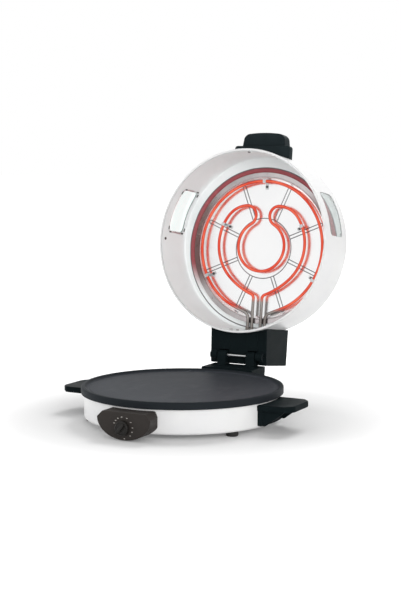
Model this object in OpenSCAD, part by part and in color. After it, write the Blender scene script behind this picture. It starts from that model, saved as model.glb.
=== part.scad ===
// Electric roti maker: a round countertop cooker with a coated hot plate in a white
// base and a deep hinged lid that holds a second set of heating tubes.
// Units are millimetres, +Z is up, the front with the knob faces -Y, and the origin is
// on the table under the middle of the whole object's outline with the lid open.

/* [Base] */
// Outer radius of the white base wall
base_r = 197; // [195:0.5:199]
// Height of the base's underside above the table
base_floor = 9; // [8:0.5:10]
// Height of the top of the base wall
base_top = 58.4; // [57:0.2:59]
// Thickness of the steel sheet of the base and the lid
sheet_t = 0.8; // [0.6:0.1:1]
// Diameter of a rubber foot
foot_d = 24; // [20:1:26]

/* [Cooking plate] */
// Outer radius of the plate's rim
plate_r = 203; // [201.5:0.5:203.5]
// Height of the plate's rim band
rim_h = 14.1; // [12:0.1:14.4]
// Depth of the cooking face below the top of the rim
face_drop = 4.5; // [3:0.5:5]
// Thickness of the plate under the cooking face
plate_t = 7; // [6:0.5:7.5]

/* [Lid] */
// Outer radius of the lid drum
lid_r = 198; // [197.6:0.2:198.4]
// Depth of the lid drum from its mouth to its top
lid_depth = 130; // [129.5:0.5:131]
// Angle through which the lid opens
lid_open = 98; // [92:1:98]
// Outer radius of the bright inner wall
liner_r = 194.5; // [194:0.1:194.6]
// Depth of the heating tubes' plane from the lid's mouth
heater_d = 107; // [106:0.5:107]
// Distance by which the reflector pan sits off centre, towards the hinge
pan_shift = 8; // [4:1:9]

/* [Windows] */
// Angle of a window's middle, from the side towards the lid handle
window_angle = 20; // [18:1:22]
// Width of a window opening
window_w = 98; // [90:1:100]
// Nearest depth of a window opening
window_lo = 28; // [26:1:34]
// Furthest depth of a window opening
window_hi = 95; // [88:1:97]

/* [Hinge] */
// Distance of the hinge pin behind the middle of the plate
hinge_y = 248.5; // [248:0.1:249]
// Height of the hinge pin above the table
hinge_z = 96.5; // [96:0.1:97]
// Diameter of the hinge pin
pin_d = 6; // [5:0.5:7]
// Width of the black hinge block on the lid
block_w = 134; // [130:1:136]
// Width of the hinge support on the base
support_w = 120; // [112:1:124]

/* [Handles] */
// Distance from the middle of the plate to the outer end of a side handle
handle_end = 261; // [255:1:266]
// Length of a side handle along the base wall
handle_w = 104; // [98:1:108]
// Thickness of a side handle's grip
handle_t = 12; // [10:0.5:13]
// Distance from the middle of the lid to the tip of the lid handle
grip_reach = 246; // [240:1:250]
// Width of the lid handle's grip at its root
grip_w = 112; // [104:1:116]

/* [Control] */
// Distance of the control pod's face in front of the middle of the plate
pod_face = 231; // [229:0.5:233]
// Width of the control pod
pod_w = 116; // [112:1:120]
// Height of the knob's axis above the table
knob_z = 25.5; // [25:0.1:26]
// Diameter of the knob
knob_d = 29; // [27:0.5:30]

/* [Hidden] */

$fn = 96;
arc_steps = 6;
gap = 0.2;

// Heights in the base, from the table
floor_top = base_floor + sheet_t;
rim_top = base_top + rim_h;
face_z = rim_top - face_drop;
plate_under = face_z - plate_t;
lower_heater_r = 4;
lower_heater_z = plate_under - lower_heater_r - gap;
strap_t = 1.2;
strap_z = lower_heater_z - lower_heater_r - gap - strap_t;
reflector_z = 40;
lid_z = rim_top + 1;

// Where things sit around the base
foot_ring_r = 181.5;
front_foot_angle = 60;
rear_foot_angle = 151;
stud_ring_r = 118;
stud_d = 5;
heater_rings = [[150, 6], [86, 9]];
heater_end_r = 9;
bulb_y = 138;
bulb_l = 44;
cover_screw_r = 173;
cover_screw_angles = [for (i = [0:5]) 60 * i + 15];
gland_angle = 212;
gland_z = 32;
gland_bore = 7.5;

// Radii in the lid, and depths from its mouth
hem_r = lid_r + 1.2;
lid_edge_r = 12;
liner_cove_r = 6;
liner_floor_d = 111;
ring_in_r = 157;
ring_out_r = 169;
pan_hole_r = 170.5;
pan_floor_d = 120;
pan_floor_r = 153;
tube_r = 3.25;
leg_in_x = 10.5;
leg_out_x = 20.5;
leg_end = 207;
leg_places = [-leg_out_x, -leg_in_x, leg_in_x, leg_out_x];
lid_handle_angles = [-13, 13];
lid_handle_depths = [96];
block_screw_angles = [-15.5, 15.5];
block_screw_depths = [36, 113];
liner_screw_angles = [0, 90, 180, 270];
liner_screw_d = 16;
pan_rivet_r = 165.5;

// Hinge
lug_r = 10;
base_lug_x = 24;
base_lug_w = 20;
block_lug_x = 46;
block_lug_w = 16;
pin_play = 0.05;
hinge_d = hinge_z - lid_z;
block_back = hinge_y + 17.5;
block_low_front = 93 - lid_z;
block_low_back = 103 - lid_z;
block_top = lid_depth + 4;
support_top = hinge_z - 20.5;
support_screw_x = [-46, 46];
support_screw_z = [26, 48];
pin_end = 62;

// Handles and pod
handle_screw_y = [-34, 34];
handle_screw_z = 30;
pod_screw_x = [-42, 42];
pod_screw_z = 34;
thermostat_screw_x = [-10, 10];
off_angle = -42;
handle_top = 55.5;
handle_tip_w = 68;
flange_t = 8;
flange_low = 14;
pod_top = 54.5;
pod_corner_z = 43;
pod_low = 1.5;
pod_wall = 2.5;
knob_face = pod_face + 12;
knob_tip = knob_face + 3;

// Window glass lies between the shell and the inner wall
window_r = 12;
glass_lap = 5;

// How far the object reaches with the lid open
function opened_y(y, z) = hinge_y + (y - hinge_y) * cos(lid_open)
    + (z - hinge_z) * sin(lid_open);
rear_reach = opened_y(-(lid_r - lid_edge_r), lid_z + lid_depth - lid_edge_r) + lid_edge_r;
base_y = (knob_tip - rear_reach) / 2;

// Points of an arc about [cx, cy], from angle a0 to angle a1
function arc(cx, cy, r, a0, a1) = [for (i = [0:arc_steps])
    let (a = a0 + (a1 - a0) * i / arc_steps) [cx + r * cos(a), cy + r * sin(a)]];

// The base's own frame has the middle of the cooking plate at x = 0, y = 0
module on_base() {
    translate([0, base_y, 0]) children();
}

// The lid's own frame is that of the closed lid: z is the depth from its mouth, and
// the lid handle is at -Y. The lid is drawn opened about the hinge pin.
module on_lid() {
    on_base() translate([0, hinge_y, hinge_z]) rotate([-lid_open, 0, 0])
        translate([0, -hinge_y, -hinge_d]) children();
}

// A cylinder along +X from x0 with length w
module rod_x(r, x0, w) {
    translate([x0, 0, 0]) rotate([0, 90, 0]) cylinder(r = r, h = w);
}

// Turns to a direction around the base, 0 at the front, and lays +Z outwards
module outward(angle, r, z) {
    rotate([0, 0, angle]) translate([0, -r, z]) rotate([90, 0, 0]) children();
}

// A screw whose shank runs along +Z from its seat, with a cross recess in the head
module screw(d, length, head_d, head_h) {
    cylinder(d = d, h = length);
    difference() {
        translate([0, 0, -head_h]) cylinder(d = head_d, h = head_h);
        for (turn = [0, 90]) rotate([0, 0, turn])
            translate([-head_d / 4, -head_d / 16, -head_h - 1])
                cube([head_d / 2, head_d / 8, 1 + head_h / 2]);
    }
}

// A hexagon nut across the flats, with a plain bore
module nut(flats, bore, h) {
    difference() {
        cylinder(d = flats / cos(30), h = h, $fn = 6);
        translate([0, 0, -1]) cylinder(d = bore, h = h + 2, $fn = 24);
    }
}

// A flat outline with round corners, centred
module round_rect(w, h, r) {
    square([w - 2 * r, h], center = true);
    square([w, h - 2 * r], center = true);
    for (x = [-1, 1], y = [-1, 1])
        translate([x * (w / 2 - r), y * (h / 2 - r)]) circle(r = r, $fn = 48);
}

// A bent tube from the origin along +Z. Each step is a straight length, then a bend of
// the given radius and angle towards the side that the roll angle picks.
module tube_run(r, steps, i = 0) {
    if (i < len(steps)) {
        length = steps[i][0];
        bend_r = steps[i][1];
        bend = steps[i][2];
        if (length > 0) cylinder(r = r, h = length, $fn = 24);
        translate([0, 0, length]) rotate([0, 0, steps[i][3]])
            if (bend > 0) translate([bend_r, 0, 0]) {
                rotate([-90, 0, 0]) rotate_extrude(angle = bend, start = 180, $fn = 72)
                    translate([bend_r, 0]) circle(r = r, $fn = 24);
                rotate([0, bend, 0]) translate([-bend_r, 0, 0]) tube_run(r, steps, i + 1);
            }
    }
}

// An arc of round tube that lies flat, about the origin
module arc_tube(ring_r, r, a0, a1) {
    rotate_extrude(angle = a1 - a0, start = a0, $fn = 120)
        translate([ring_r, 0]) circle(r = r, $fn = 24);
}

// White wall of the base, with a rounded bottom edge and turned-in flanges
module base_shell() {
    edge_r = 6;
    flange_r = 165;
    top_flange_r = 186;
    outline = concat([[flange_r, base_floor]],
        arc(base_r - edge_r, base_floor + edge_r, edge_r, -90, 0),
        [[base_r, base_top], [top_flange_r, base_top], [top_flange_r, base_top - sheet_t],
            [base_r - sheet_t, base_top - sheet_t]],
        arc(base_r - edge_r, base_floor + edge_r, edge_r - sheet_t, 0, -90),
        [[flange_r, floor_top]]);
    color("white") on_base() difference() {
        rotate_extrude($fn = 180) polygon(outline);
        translate([-24, -base_r - 5, 15]) cube([48, 20, 26]);
        for (x = pod_screw_x) translate([x, -base_r + 20, pod_screw_z])
            rotate([90, 0, 0]) cylinder(d = 4.4, h = 25, $fn = 24);
        for (side = [-1, 1], y = handle_screw_y)
            translate([side * (base_r - 25), y, handle_screw_z])
                rotate([0, side * 90, 0]) cylinder(d = 4.4, h = 30, $fn = 24);
        for (x = support_screw_x, z = support_screw_z) translate([x, base_r - 25, z])
            rotate([-90, 0, 0]) cylinder(d = 4.4, h = 30, $fn = 24);
        outward(gland_angle, base_r - 10, gland_z) cylinder(d = 14.4, h = 20);
        for (a = foot_angles()) rotate([0, 0, a]) translate([0, -foot_ring_r, 0])
            cylinder(d = 4.4, h = 20, $fn = 24);
        for (a = cover_screw_angles) rotate([0, 0, a]) translate([0, -cover_screw_r, 0])
            cylinder(d = 3.4, h = 20, $fn = 24);
    }
}
function foot_angles() = [front_foot_angle, -front_foot_angle, rear_foot_angle,
    -rear_foot_angle];

// Galvanised steel cover under the base, with rows of vents
module bottom_cover() {
    cover_r = 189;
    vent_w = 26;
    color("silver") on_base() difference() {
        translate([0, 0, floor_top]) cylinder(r = cover_r, h = sheet_t, $fn = 180);
        for (i = [0:11], r = [75, 95, 137]) rotate([0, 0, 30 * i + 15])
            translate([-vent_w / 2, -r - 2, base_floor]) cube([vent_w, 4, 5]);
        for (a = foot_angles()) rotate([0, 0, a]) translate([0, -foot_ring_r, 0])
            cylinder(d = 4.4, h = 20, $fn = 24);
        for (a = cover_screw_angles) rotate([0, 0, a]) translate([0, -cover_screw_r, 0])
            cylinder(d = 3.4, h = 20, $fn = 24);
        for (i = [0:3]) rotate([0, 0, 90 * i + 45]) translate([0, -stud_ring_r, 0])
            cylinder(d = stud_d + 0.4, h = 20, $fn = 24);
    }
}

// Six small screws that hold the bottom cover to the wall's flange
module bottom_screws() {
    color("silver") on_base() for (a = cover_screw_angles) rotate([0, 0, a])
        translate([0, -cover_screw_r, base_floor]) screw(3, 7, 6, 2);
}

// Cast hot plate: raised rim with a rounded edge, a groove inside it, a flat cooking
// face, a locating lip below and four bosses for the studs
module cooking_plate() {
    rim_w = 13;
    rim_edge_r = 3;
    groove = 0.8;
    lip_r = 184.5;
    lip_w = 4.5;
    boss_h = 4;
    outline = concat([[0, plate_under], [lip_r - lip_w, plate_under],
            [lip_r - lip_w, base_top - 4], [lip_r, base_top - 4], [lip_r, base_top],
            [plate_r - 1, base_top], [plate_r, base_top + 1]],
        arc(plate_r - rim_edge_r, rim_top - rim_edge_r, rim_edge_r, 0, 90),
        [[plate_r - 8, rim_top], [plate_r - rim_w + 1, face_z + 1],
            [plate_r - rim_w, face_z - groove], [plate_r - rim_w - 3, face_z - groove],
            [plate_r - rim_w - 5, face_z], [0, face_z]]);
    color([0.25, 0.26, 0.3]) on_base() difference() {
        union() {
            rotate_extrude($fn = 180) polygon(outline);
            for (i = [0:3]) rotate([0, 0, 90 * i + 45])
                translate([0, -stud_ring_r, plate_under - boss_h])
                    cylinder(d = 14, h = boss_h + 1, $fn = 48);
        }
        for (i = [0:3]) rotate([0, 0, 90 * i + 45])
            translate([0, -stud_ring_r, plate_under - boss_h - 1])
                cylinder(d = stud_d, h = 8, $fn = 24);
    }
}

// Four studs that tie the plate, the heater, the reflector and the cover together
module plate_studs() {
    stud_low = 4.5;
    color("silver") on_base() for (i = [0:3]) rotate([0, 0, 90 * i + 45])
        translate([0, -stud_ring_r, stud_low])
            cylinder(d = stud_d, h = plate_under + 2.8 - stud_low, $fn = 24);
}

// Nuts under the bottom cover, on the ends of the studs
module stud_nuts() {
    color("silver") on_base() for (i = [0:3]) rotate([0, 0, 90 * i + 45])
        translate([0, -stud_ring_r, floor_top - 4]) nut(8, stud_d, 4);
}

// Tubes round the studs that hold the reflector above the cover
module reflector_spacers() {
    color("silver") on_base() for (i = [0:3]) rotate([0, 0, 90 * i + 45])
        translate([0, -stud_ring_r, floor_top + sheet_t]) difference() {
            cylinder(d = 9, h = reflector_z - floor_top - sheet_t, $fn = 32);
            translate([0, 0, -1]) cylinder(d = stud_d + 0.4, h = 40, $fn = 24);
        }
}

// Two open rings of heating tube against the underside of the plate, with their ends
// bent down at the rear
module lower_heater() {
    for (ring = heater_rings) color([0.35, 0.3, 0.28]) on_base()
        translate([0, 0, lower_heater_z]) {
            arc_tube(ring[0], lower_heater_r, 90 + ring[1], 450 - ring[1]);
            for (side = [-1, 1]) rotate([0, 0, 90 + side * ring[1]])
                translate([ring[0], 0, 0]) rotate([90 * side, 0, 0]) {
                    tube_run(lower_heater_r, [[0, heater_end_r, 90, -90 * side],
                        [16, 0, 0, 0]]);
                }
        }
}

// Four straps that press the heating tubes up against the plate
module heater_straps() {
    strap_in = 76;
    strap_out = 160;
    strap_w = 12;
    color("silver") on_base() for (i = [0:3]) rotate([0, 0, 90 * i + 45]) difference() {
        translate([-strap_w / 2, -strap_out, strap_z])
            cube([strap_w, strap_out - strap_in, strap_t]);
        translate([0, -stud_ring_r, strap_z - 1])
            cylinder(d = stud_d + 0.4, h = 4, $fn = 24);
    }
}

// Nuts that tighten the straps on the studs
module strap_nuts() {
    color("silver") on_base() for (i = [0:3]) rotate([0, 0, 90 * i + 45])
        translate([0, -stud_ring_r, strap_z - 4]) nut(8, stud_d, 4);
}

// Bright dish below the lower heater
module lower_reflector() {
    dish_r = 170;
    lip_r = 180;
    lip_z = 52;
    t = 0.5;
    heater_pins = [for (ring = heater_rings, side = [-1, 1])
        let (a = 90 + side * ring[1], reach = heater_end_r * side)
            [ring[0] * cos(a) + reach * sin(a), ring[0] * sin(a) - reach * cos(a)]];
    color("silver") on_base() difference() {
        rotate_extrude($fn = 180) polygon([[20, reflector_z], [dish_r, reflector_z],
            [lip_r, lip_z], [lip_r - t, lip_z + t], [dish_r - t, reflector_z + t],
            [20, reflector_z + t]]);
        for (i = [0:3]) rotate([0, 0, 90 * i + 45]) translate([0, -stud_ring_r, 30])
            cylinder(d = stud_d + 0.4, h = 20, $fn = 24);
        for (p = heater_pins) translate([p[0], p[1], 30]) cylinder(d = 11, h = 20, $fn = 32);
        translate([0, -bulb_y - 4, 30]) cylinder(d = 7, h = 20, $fn = 24);
    }
}

// One rubber foot with a recess for its screw
module foot(angle) {
    color([0.12, 0.12, 0.12]) on_base() rotate([0, 0, angle])
        translate([0, -foot_ring_r, 0]) difference() {
            union() {
                translate([0, 0, 1]) cylinder(d = foot_d, h = base_floor - 1, $fn = 48);
                cylinder(d1 = foot_d - 2, d2 = foot_d, h = 1, $fn = 48);
            }
            translate([0, 0, -1]) cylinder(d = 11, h = 5, $fn = 32);
            cylinder(d = 4.2, h = base_floor + 1, $fn = 24);
        }
}

// Screws through the feet into the base
module foot_screws() {
    color("silver") on_base() for (a = foot_angles()) rotate([0, 0, a])
        translate([0, -foot_ring_r, 4]) screw(4, 12, 8, 2.4);
}

// Black side handle on the +X side: a flange on the wall and a flat grip
module side_handle() {
    rim_gap_r = base_r + gap;
    grip_low = handle_top - handle_t;
    half = handle_w / 2;
    tip_half = handle_tip_w / 2;
    corner = 16;
    difference() {
        union() {
            intersection() {
                translate([0, 0, flange_low])
                    cylinder(r = base_r + flange_t, h = handle_top - flange_low, $fn = 180);
                translate([150, -half + 2, 0]) cube([100, handle_w - 4, 80]);
            }
            translate([0, 0, grip_low]) linear_extrude(handle_t)
                polygon([[180, -half], [handle_end - corner, -half + 2],
                    [handle_end - 2, -tip_half - 1], [handle_end, -tip_half + 2],
                    [handle_end, tip_half - 2], [handle_end - 2, tip_half + 1],
                    [handle_end - corner, half - 2], [180, half]]);
            children();
        }
        cylinder(r = rim_gap_r, h = 100, $fn = 180);
        for (y = handle_screw_y) translate([base_r - 5, y, handle_screw_z])
            rotate([0, 90, 0]) cylinder(d = 3.4, h = 12, $fn = 24);
    }
}

// Side walls under the right grip, cut off along a slope from the flange to the tip
module grip_brackets() {
    wall = 5;
    half = handle_w / 2 - 5;
    for (side = [-1, 1]) translate([0, side * (half - wall / 2) + wall / 2, 0])
        rotate([90, 0, 0]) linear_extrude(wall)
            polygon([[180, handle_top - 2], [180, flange_low],
                [base_r + flange_t, flange_low], [handle_end - 16, handle_top - handle_t],
                [handle_end - 16, handle_top - 2]]);
}

module right_side_handle() {
    color([0.1, 0.11, 0.12]) on_base() side_handle() grip_brackets();
}

module left_side_handle() {
    color([0.1, 0.11, 0.12]) on_base() rotate([0, 0, 180]) side_handle();
}

// Screws from inside the base wall into the two side handles
module side_handle_screws() {
    seat = sqrt(pow(base_r - sheet_t, 2) - pow(handle_screw_y[1], 2)) - 2;
    color("silver") on_base() for (side = [-1, 1], y = handle_screw_y)
        translate([side * seat, y, handle_screw_z])
            rotate([0, side * 90, 0]) screw(3.4, 10, 8, 2);
}

// Outline of the control pod seen from the front: straight top with clipped corners and
// a half ellipse below, drawn in by inset
module pod_outline(inset) {
    half = pod_w / 2 - inset;
    drop = pod_corner_z - pod_low - inset;
    top_half = pod_w / 2 - 12 - inset / 2;
    steps = 36;
    polygon(concat([[-top_half, pod_top - inset]],
        [for (i = [0:steps]) let (a = 180 + 180 * i / steps)
            [half * cos(a), pod_corner_z + drop * sin(a)]],
        [[top_half, pod_top - inset]]));
}

// Dark hollow housing of the control on the front of the base
module control_pod() {
    root_half = 50;
    front = pod_face;
    root = base_r - 10;
    color([0.17, 0.15, 0.14]) on_base() difference() {
        intersection() {
            translate([0, -root, 0]) rotate([90, 0, 0])
                linear_extrude(front - root) pod_outline(0);
            linear_extrude(80) polygon([[-pod_w / 2, -front], [-pod_w / 2, -front + 3],
                [-root_half, -root], [root_half, -root], [pod_w / 2, -front + 3],
                [pod_w / 2, -front]]);
        }
        cylinder(r = base_r + gap, h = 100, $fn = 180);
        intersection() {
            translate([0, -root, 0]) rotate([90, 0, 0])
                linear_extrude(front - root - pod_wall) pod_outline(pod_wall);
            linear_extrude(80) polygon([[-pod_w / 2 + pod_wall, -front],
                [-pod_w / 2 + pod_wall, -front + 3], [-36, -root], [36, -root],
                [pod_w / 2 - pod_wall, -front + 3], [pod_w / 2 - pod_wall, -front]]);
        }
        translate([0, -front + 10, knob_z]) rotate([90, 0, 0]) cylinder(d = 9, h = 20);
        for (x = thermostat_screw_x)
            translate([x, -front + 10, knob_z]) rotate([90, 0, 0]) {
                cylinder(d = 4.2, h = 20, $fn = 24);
                translate([0, 0, 8.4]) cylinder(d = 7.6, h = 5, $fn = 24);
            }
        for (x = pod_screw_x) translate([x, -base_r + 20, pod_screw_z])
            rotate([90, 0, 0]) cylinder(d = 3.2, h = 36, $fn = 24);
    }
}

// Screws from inside the base wall into the pod's side walls
module pod_screws() {
    seat = sqrt(pow(base_r - sheet_t, 2) - pow(pod_screw_x[1], 2)) - 2.2;
    color("silver") on_base() for (x = pod_screw_x) translate([x, -seat, pod_screw_z])
        rotate([90, 0, 0]) screw(3.2, 14, 7, 2);
}

// Thermostat body behind the pod's face, with its mounting plate, bush and terminals
module thermostat() {
    plate_y = pod_face - pod_wall - 1.2;
    color([0.85, 0.83, 0.78]) on_base() difference() {
        union() {
            translate([-17, -plate_y, knob_z - 13]) cube([34, 1, 26]);
            translate([-16, -plate_y + 1, knob_z - 12.5]) cube([32, 18, 25]);
            translate([0, -plate_y + 1, knob_z]) rotate([90, 0, 0])
                cylinder(d = 8.4, h = 3, $fn = 48);
            for (x = [-11, 11]) translate([x - 3, -plate_y + 19, knob_z - 9])
                cube([6, 7, 0.8]);
        }
        translate([0, -plate_y + 14, knob_z]) rotate([90, 0, 0])
            cylinder(d = 6.1, h = 30, $fn = 48);
        for (x = thermostat_screw_x)
            translate([x, -plate_y + 8, knob_z]) rotate([90, 0, 0])
                cylinder(d = 3.4, h = 20, $fn = 24);
    }
}

// Sensing bulb under the plate and the capillary that leads to the thermostat
module thermostat_bulb() {
    bulb_r = 3;
    back = pod_face - pod_wall - 20.2;
    color([0.72, 0.45, 0.3]) on_base() {
        translate([0, -bulb_y, plate_under - bulb_r - gap]) rotate([-90, 0, 0])
            cylinder(r = bulb_r, h = bulb_l, $fn = 32);
        translate([0, -back, knob_z + 7]) rotate([-90, 0, 0])
            tube_run(1, [[back - bulb_y - 4 - 8, 8, 90, -90],
                [plate_under - bulb_r - gap - knob_z - 7 - 12, 4, 90, 180], [0, 0, 0, 0]]);
    }
}

// Two screws under the knob that hold the thermostat to the pod
module thermostat_screws() {
    color("silver") on_base() for (x = thermostat_screw_x)
        translate([x, -pod_face + 1.6, knob_z]) rotate([-90, 0, 0]) screw(3.4, 7, 7, 1.4);
}

// Spindle that the knob turns, with a flat along its front end
module knob_spindle() {
    rear = pod_face - pod_wall - 1.2 - 13;
    color("silver") on_base() difference() {
        translate([0, -rear, knob_z]) rotate([90, 0, 0])
            cylinder(d = 6, h = knob_face - 2 - rear, $fn = 48);
        translate([-5, -knob_face, knob_z + 1.6]) cube([10, 10, 5]);
    }
}

// Round knob with a rounded front edge and a bar grip across its face, which points to
// the lower left when the heat is off
module control_knob() {
    r = knob_d / 2;
    skirt_y = pod_face + 0.5;
    grip_w = 7.5;
    edge = 2;
    spindle_bore = 6.05;
    color([0.12, 0.11, 0.11]) on_base() translate([0, 0, knob_z]) rotate([90, 0, 0])
        difference() {
            union() {
                rotate_extrude($fn = 96) polygon(concat([[0, skirt_y], [r, skirt_y]],
                    arc(r - 0.6 - edge, knob_face - 3 - edge, edge, 0, 90),
                    [[0, knob_face - 3]]));
                rotate([0, 0, off_angle]) intersection() {
                    translate([-grip_w / 2, -r + 1, skirt_y + 2])
                        cube([grip_w, 2 * r - 2, knob_tip - skirt_y - 2]);
                    translate([0, 0, skirt_y]) cylinder(r1 = r, r2 = r - 1.5,
                        h = knob_tip - skirt_y);
                }
            }
            difference() {
                translate([0, 0, skirt_y - 1]) cylinder(d = spindle_bore,
                    h = knob_face - 2 - skirt_y + 1, $fn = 48);
                translate([-5, 1.65, skirt_y + 2]) cube([10, 5, 20]);
            }
        }
}

// Ceramic connector block on the cover, where the mains leads arrive
module terminal_block() {
    block = [44, 18, 16];
    color([0.9, 0.88, 0.82]) on_base() translate([-82, 116, floor_top + sheet_t])
        difference() {
            cube(block);
            for (i = [0:2]) translate([8 + 14 * i, -1, 8]) rotate([-90, 0, 0])
                cylinder(d = 5, h = 20, $fn = 24);
            for (i = [0:2]) translate([8 + 14 * i, 9, 9])
                cylinder(d = 4, h = 10, $fn = 24);
            for (i = [0:1]) translate([15 + 14 * i, -1, 12]) cube([1.6, 20, 5]);
        }
}

// Insulated leads inside the base: from the connector block to the thermostat, and up to
// an end of each ring of the lower heater
module base_leads() {
    r = 1.4;
    z = floor_top + sheet_t + 8;
    start_y = 114;
    thermostat_y = pod_face - pod_wall - 1.2 - 26.4;
    color([0.85, 0.85, 0.85]) on_base() {
        translate([-74, start_y, z]) rotate([90, 0, 0])
            tube_run(r, [[228, 15, 90, 0], [32, 15, 90, 180],
                [thermostat_y - (228 - start_y) - 30, 0, 0, 0]]);
        translate([-46, start_y, z]) rotate([90, 0, 0])
            tube_run(r, [[17.6, 10, 90, 0], [21.4, 10, 90, 90], [2.8, 0, 0, 0]]);
        translate([-37, 127, z]) rotate([0, 90, 0])
            tube_run(r, [[22.3, 8, 90, 90], [7.1, 8, 90, 90], [4.8, 0, 0, 0]]);
    }
}

// Round cable gland in the rear left of the wall, with a bore for the mains lead
module cord_gland() {
    color([0.1, 0.1, 0.1]) on_base() outward(gland_angle, 0, gland_z) difference() {
        union() {
            translate([0, 0, base_r + 0.4]) cylinder(d = 22, h = 5, $fn = 48);
            translate([0, 0, base_r - 6]) cylinder(d = 14, h = 8, $fn = 48);
            translate([0, 0, base_r + 5]) cylinder(d1 = 17, d2 = 13, h = 9, $fn = 48);
        }
        translate([0, 0, base_r - 10]) cylinder(d = gland_bore, h = 40, $fn = 48);
    }
}

// Black bracket behind the base with the two lower hinge lugs
module hinge_support() {
    top = support_top;
    back = 262;
    wall_top = base_top - 0.8;
    neck_r = plate_r + 2;
    wall = 4;
    cheek = 26;
    lug_foot = 12;
    outline = concat([[180, 20], [180, top], [back, top], [back, top - 5]],
        arc(back - 16, top - 7, 16, -8, -50), [[202, 20]]);
    hollow = [[180, 24], [180, wall_top - wall], [neck_r + wall, wall_top - wall],
        [neck_r + wall, top - wall], [back - wall, top - wall],
        [back - wall, top - 8], [back - 8, top - 15], [202, 26]];
    color([0.1, 0.11, 0.12]) on_base() difference() {
        union() {
            translate([-support_w / 2, 0, 0]) rotate([90, 0, 90])
                linear_extrude(support_w) polygon(outline);
            for (side = [-1, 1])
                translate([side * (base_lug_x + base_lug_w / 2) - base_lug_w / 2, 0, 0]) {
                    translate([0, hinge_y, hinge_z]) rod_x(lug_r, 0, base_lug_w);
                    rotate([90, 0, 90]) linear_extrude(base_lug_w)
                        polygon([[hinge_y - lug_foot, top - 1], [hinge_y - lug_r, hinge_z],
                            [hinge_y + lug_r, hinge_z], [hinge_y + lug_foot, top - 1]]);
                }
        }
        translate([-support_w / 2 + cheek, 0, 0]) rotate([90, 0, 90])
            linear_extrude(support_w - 2 * cheek) polygon(hollow);
        for (x = support_screw_x, z = support_screw_z) translate([x, 180, z])
            rotate([-90, 0, 0]) cylinder(d = 4, h = 22, $fn = 24);
        cylinder(r = base_r + gap, h = wall_top, $fn = 180);
        translate([0, 0, wall_top]) cylinder(r = neck_r, h = 60, $fn = 180);
        translate([0, hinge_y, hinge_z])
            rod_x(pin_d / 2 + pin_play, -support_w / 2, support_w);
    }
}

// Screws from inside the base wall into the hinge support
module hinge_support_screws() {
    seat = sqrt(pow(base_r - sheet_t, 2) - pow(support_screw_x[1], 2)) - 2.2;
    color("silver") on_base() for (x = support_screw_x, z = support_screw_z)
        translate([x, seat, z]) rotate([-90, 0, 0]) screw(4, 10, 8, 2.2);
}

// The prism of a window opening, through both walls of the lid drum
module window_prism(side, grow) {
    rotate([0, 0, side > 0 ? -window_angle : 180 + window_angle])
        translate([150, 0, (window_lo + window_hi) / 2]) rotate([90, 0, 90])
            linear_extrude(80) round_rect(window_w + 2 * grow,
                window_hi - window_lo + 2 * grow, window_r + grow / 2);
}

// Holes for the four heater legs through the rear of the lid
module leg_holes(d) {
    for (x = leg_places)
        translate([x, 180, heater_d]) rotate([-90, 0, 0]) cylinder(d = d, h = 30, $fn = 32);
}

// White drum of the lid with a rounded top edge, a shallow panel in its top, a turned
// hem round its mouth and the two window openings
module lid_shell() {
    t = sheet_t;
    panel_r = 160;
    panel_drop = 2;
    outer = concat([[hem_r - 4.6, 0]], arc(hem_r - 1.4, 1.4, 1.4, -90, 0),
        [[hem_r, 4.6], [lid_r, 6]],
        arc(lid_r - lid_edge_r, lid_depth - lid_edge_r, lid_edge_r, 0, 90),
        [[panel_r, lid_depth], [panel_r - 3, lid_depth - panel_drop],
            [0, lid_depth - panel_drop]]);
    inner = concat([[0, lid_depth - panel_drop - t], [panel_r - 3, lid_depth - panel_drop - t],
            [panel_r, lid_depth - t]],
        arc(lid_r - lid_edge_r, lid_depth - lid_edge_r, lid_edge_r - t, 90, 0),
        [[lid_r - t, 1.2], [hem_r - 4.6, 1.2]]);
    color("white") on_lid() difference() {
        rotate_extrude($fn = 180) polygon(concat(outer, inner));
        for (side = [-1, 1]) window_prism(side, 0);
        leg_holes(8.8);
        lid_wall_holes(lid_r);
        liner_screw_holes();
    }
}

// Screw holes for the lid handle and the hinge block in the drum's wall
module lid_wall_holes(r) {
    for (a = lid_handle_angles, z = lid_handle_depths) outward(a, r - 10, z)
        cylinder(d = 4.2, h = 20, $fn = 24);
    for (a = block_screw_angles, z = block_screw_depths) outward(180 + a, r - 10, z)
        cylinder(d = 4.2, h = 20, $fn = 24);
}

// Holes for the screws that join the inner wall to the drum near the mouth
module liner_screw_holes() {
    for (a = liner_screw_angles) outward(a, liner_r - 10, liner_screw_d)
        cylinder(d = 3.2, h = 20, $fn = 24);
}

// Bright inner wall of the lid, turned in to a floor with an offset round opening
module lid_liner() {
    t = 0.6;
    step = 1.6;
    floor_in_r = 150;
    wall = concat([[liner_r - t, 1.6], [liner_r, 1.6]],
        arc(liner_r - liner_cove_r, liner_floor_d - liner_cove_r, liner_cove_r, 0, 90),
        [[floor_in_r, liner_floor_d], [floor_in_r, liner_floor_d - t]],
        arc(liner_r - liner_cove_r, liner_floor_d - liner_cove_r, liner_cove_r - t, 90, 0));
    color([0.88, 0.89, 0.9]) on_lid() difference() {
        union() {
            difference() {
                rotate_extrude($fn = 180) polygon(wall);
                translate([0, pan_shift, 0]) cylinder(r = pan_hole_r, h = 120, $fn = 180);
            }
            translate([0, pan_shift, 0]) rotate_extrude($fn = 180) polygon([
                [pan_hole_r + t, liner_floor_d - t], [pan_hole_r + t, liner_floor_d + step + t],
                [pan_hole_r - 9, liner_floor_d + step + t], [pan_hole_r - 9, liner_floor_d + step],
                [pan_hole_r, liner_floor_d + step], [pan_hole_r, liner_floor_d - t]]);
        }
        for (side = [-1, 1]) window_prism(side, 0);
        leg_holes(8.8);
        liner_screw_holes();
        pan_rivet_holes();
    }
}

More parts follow.
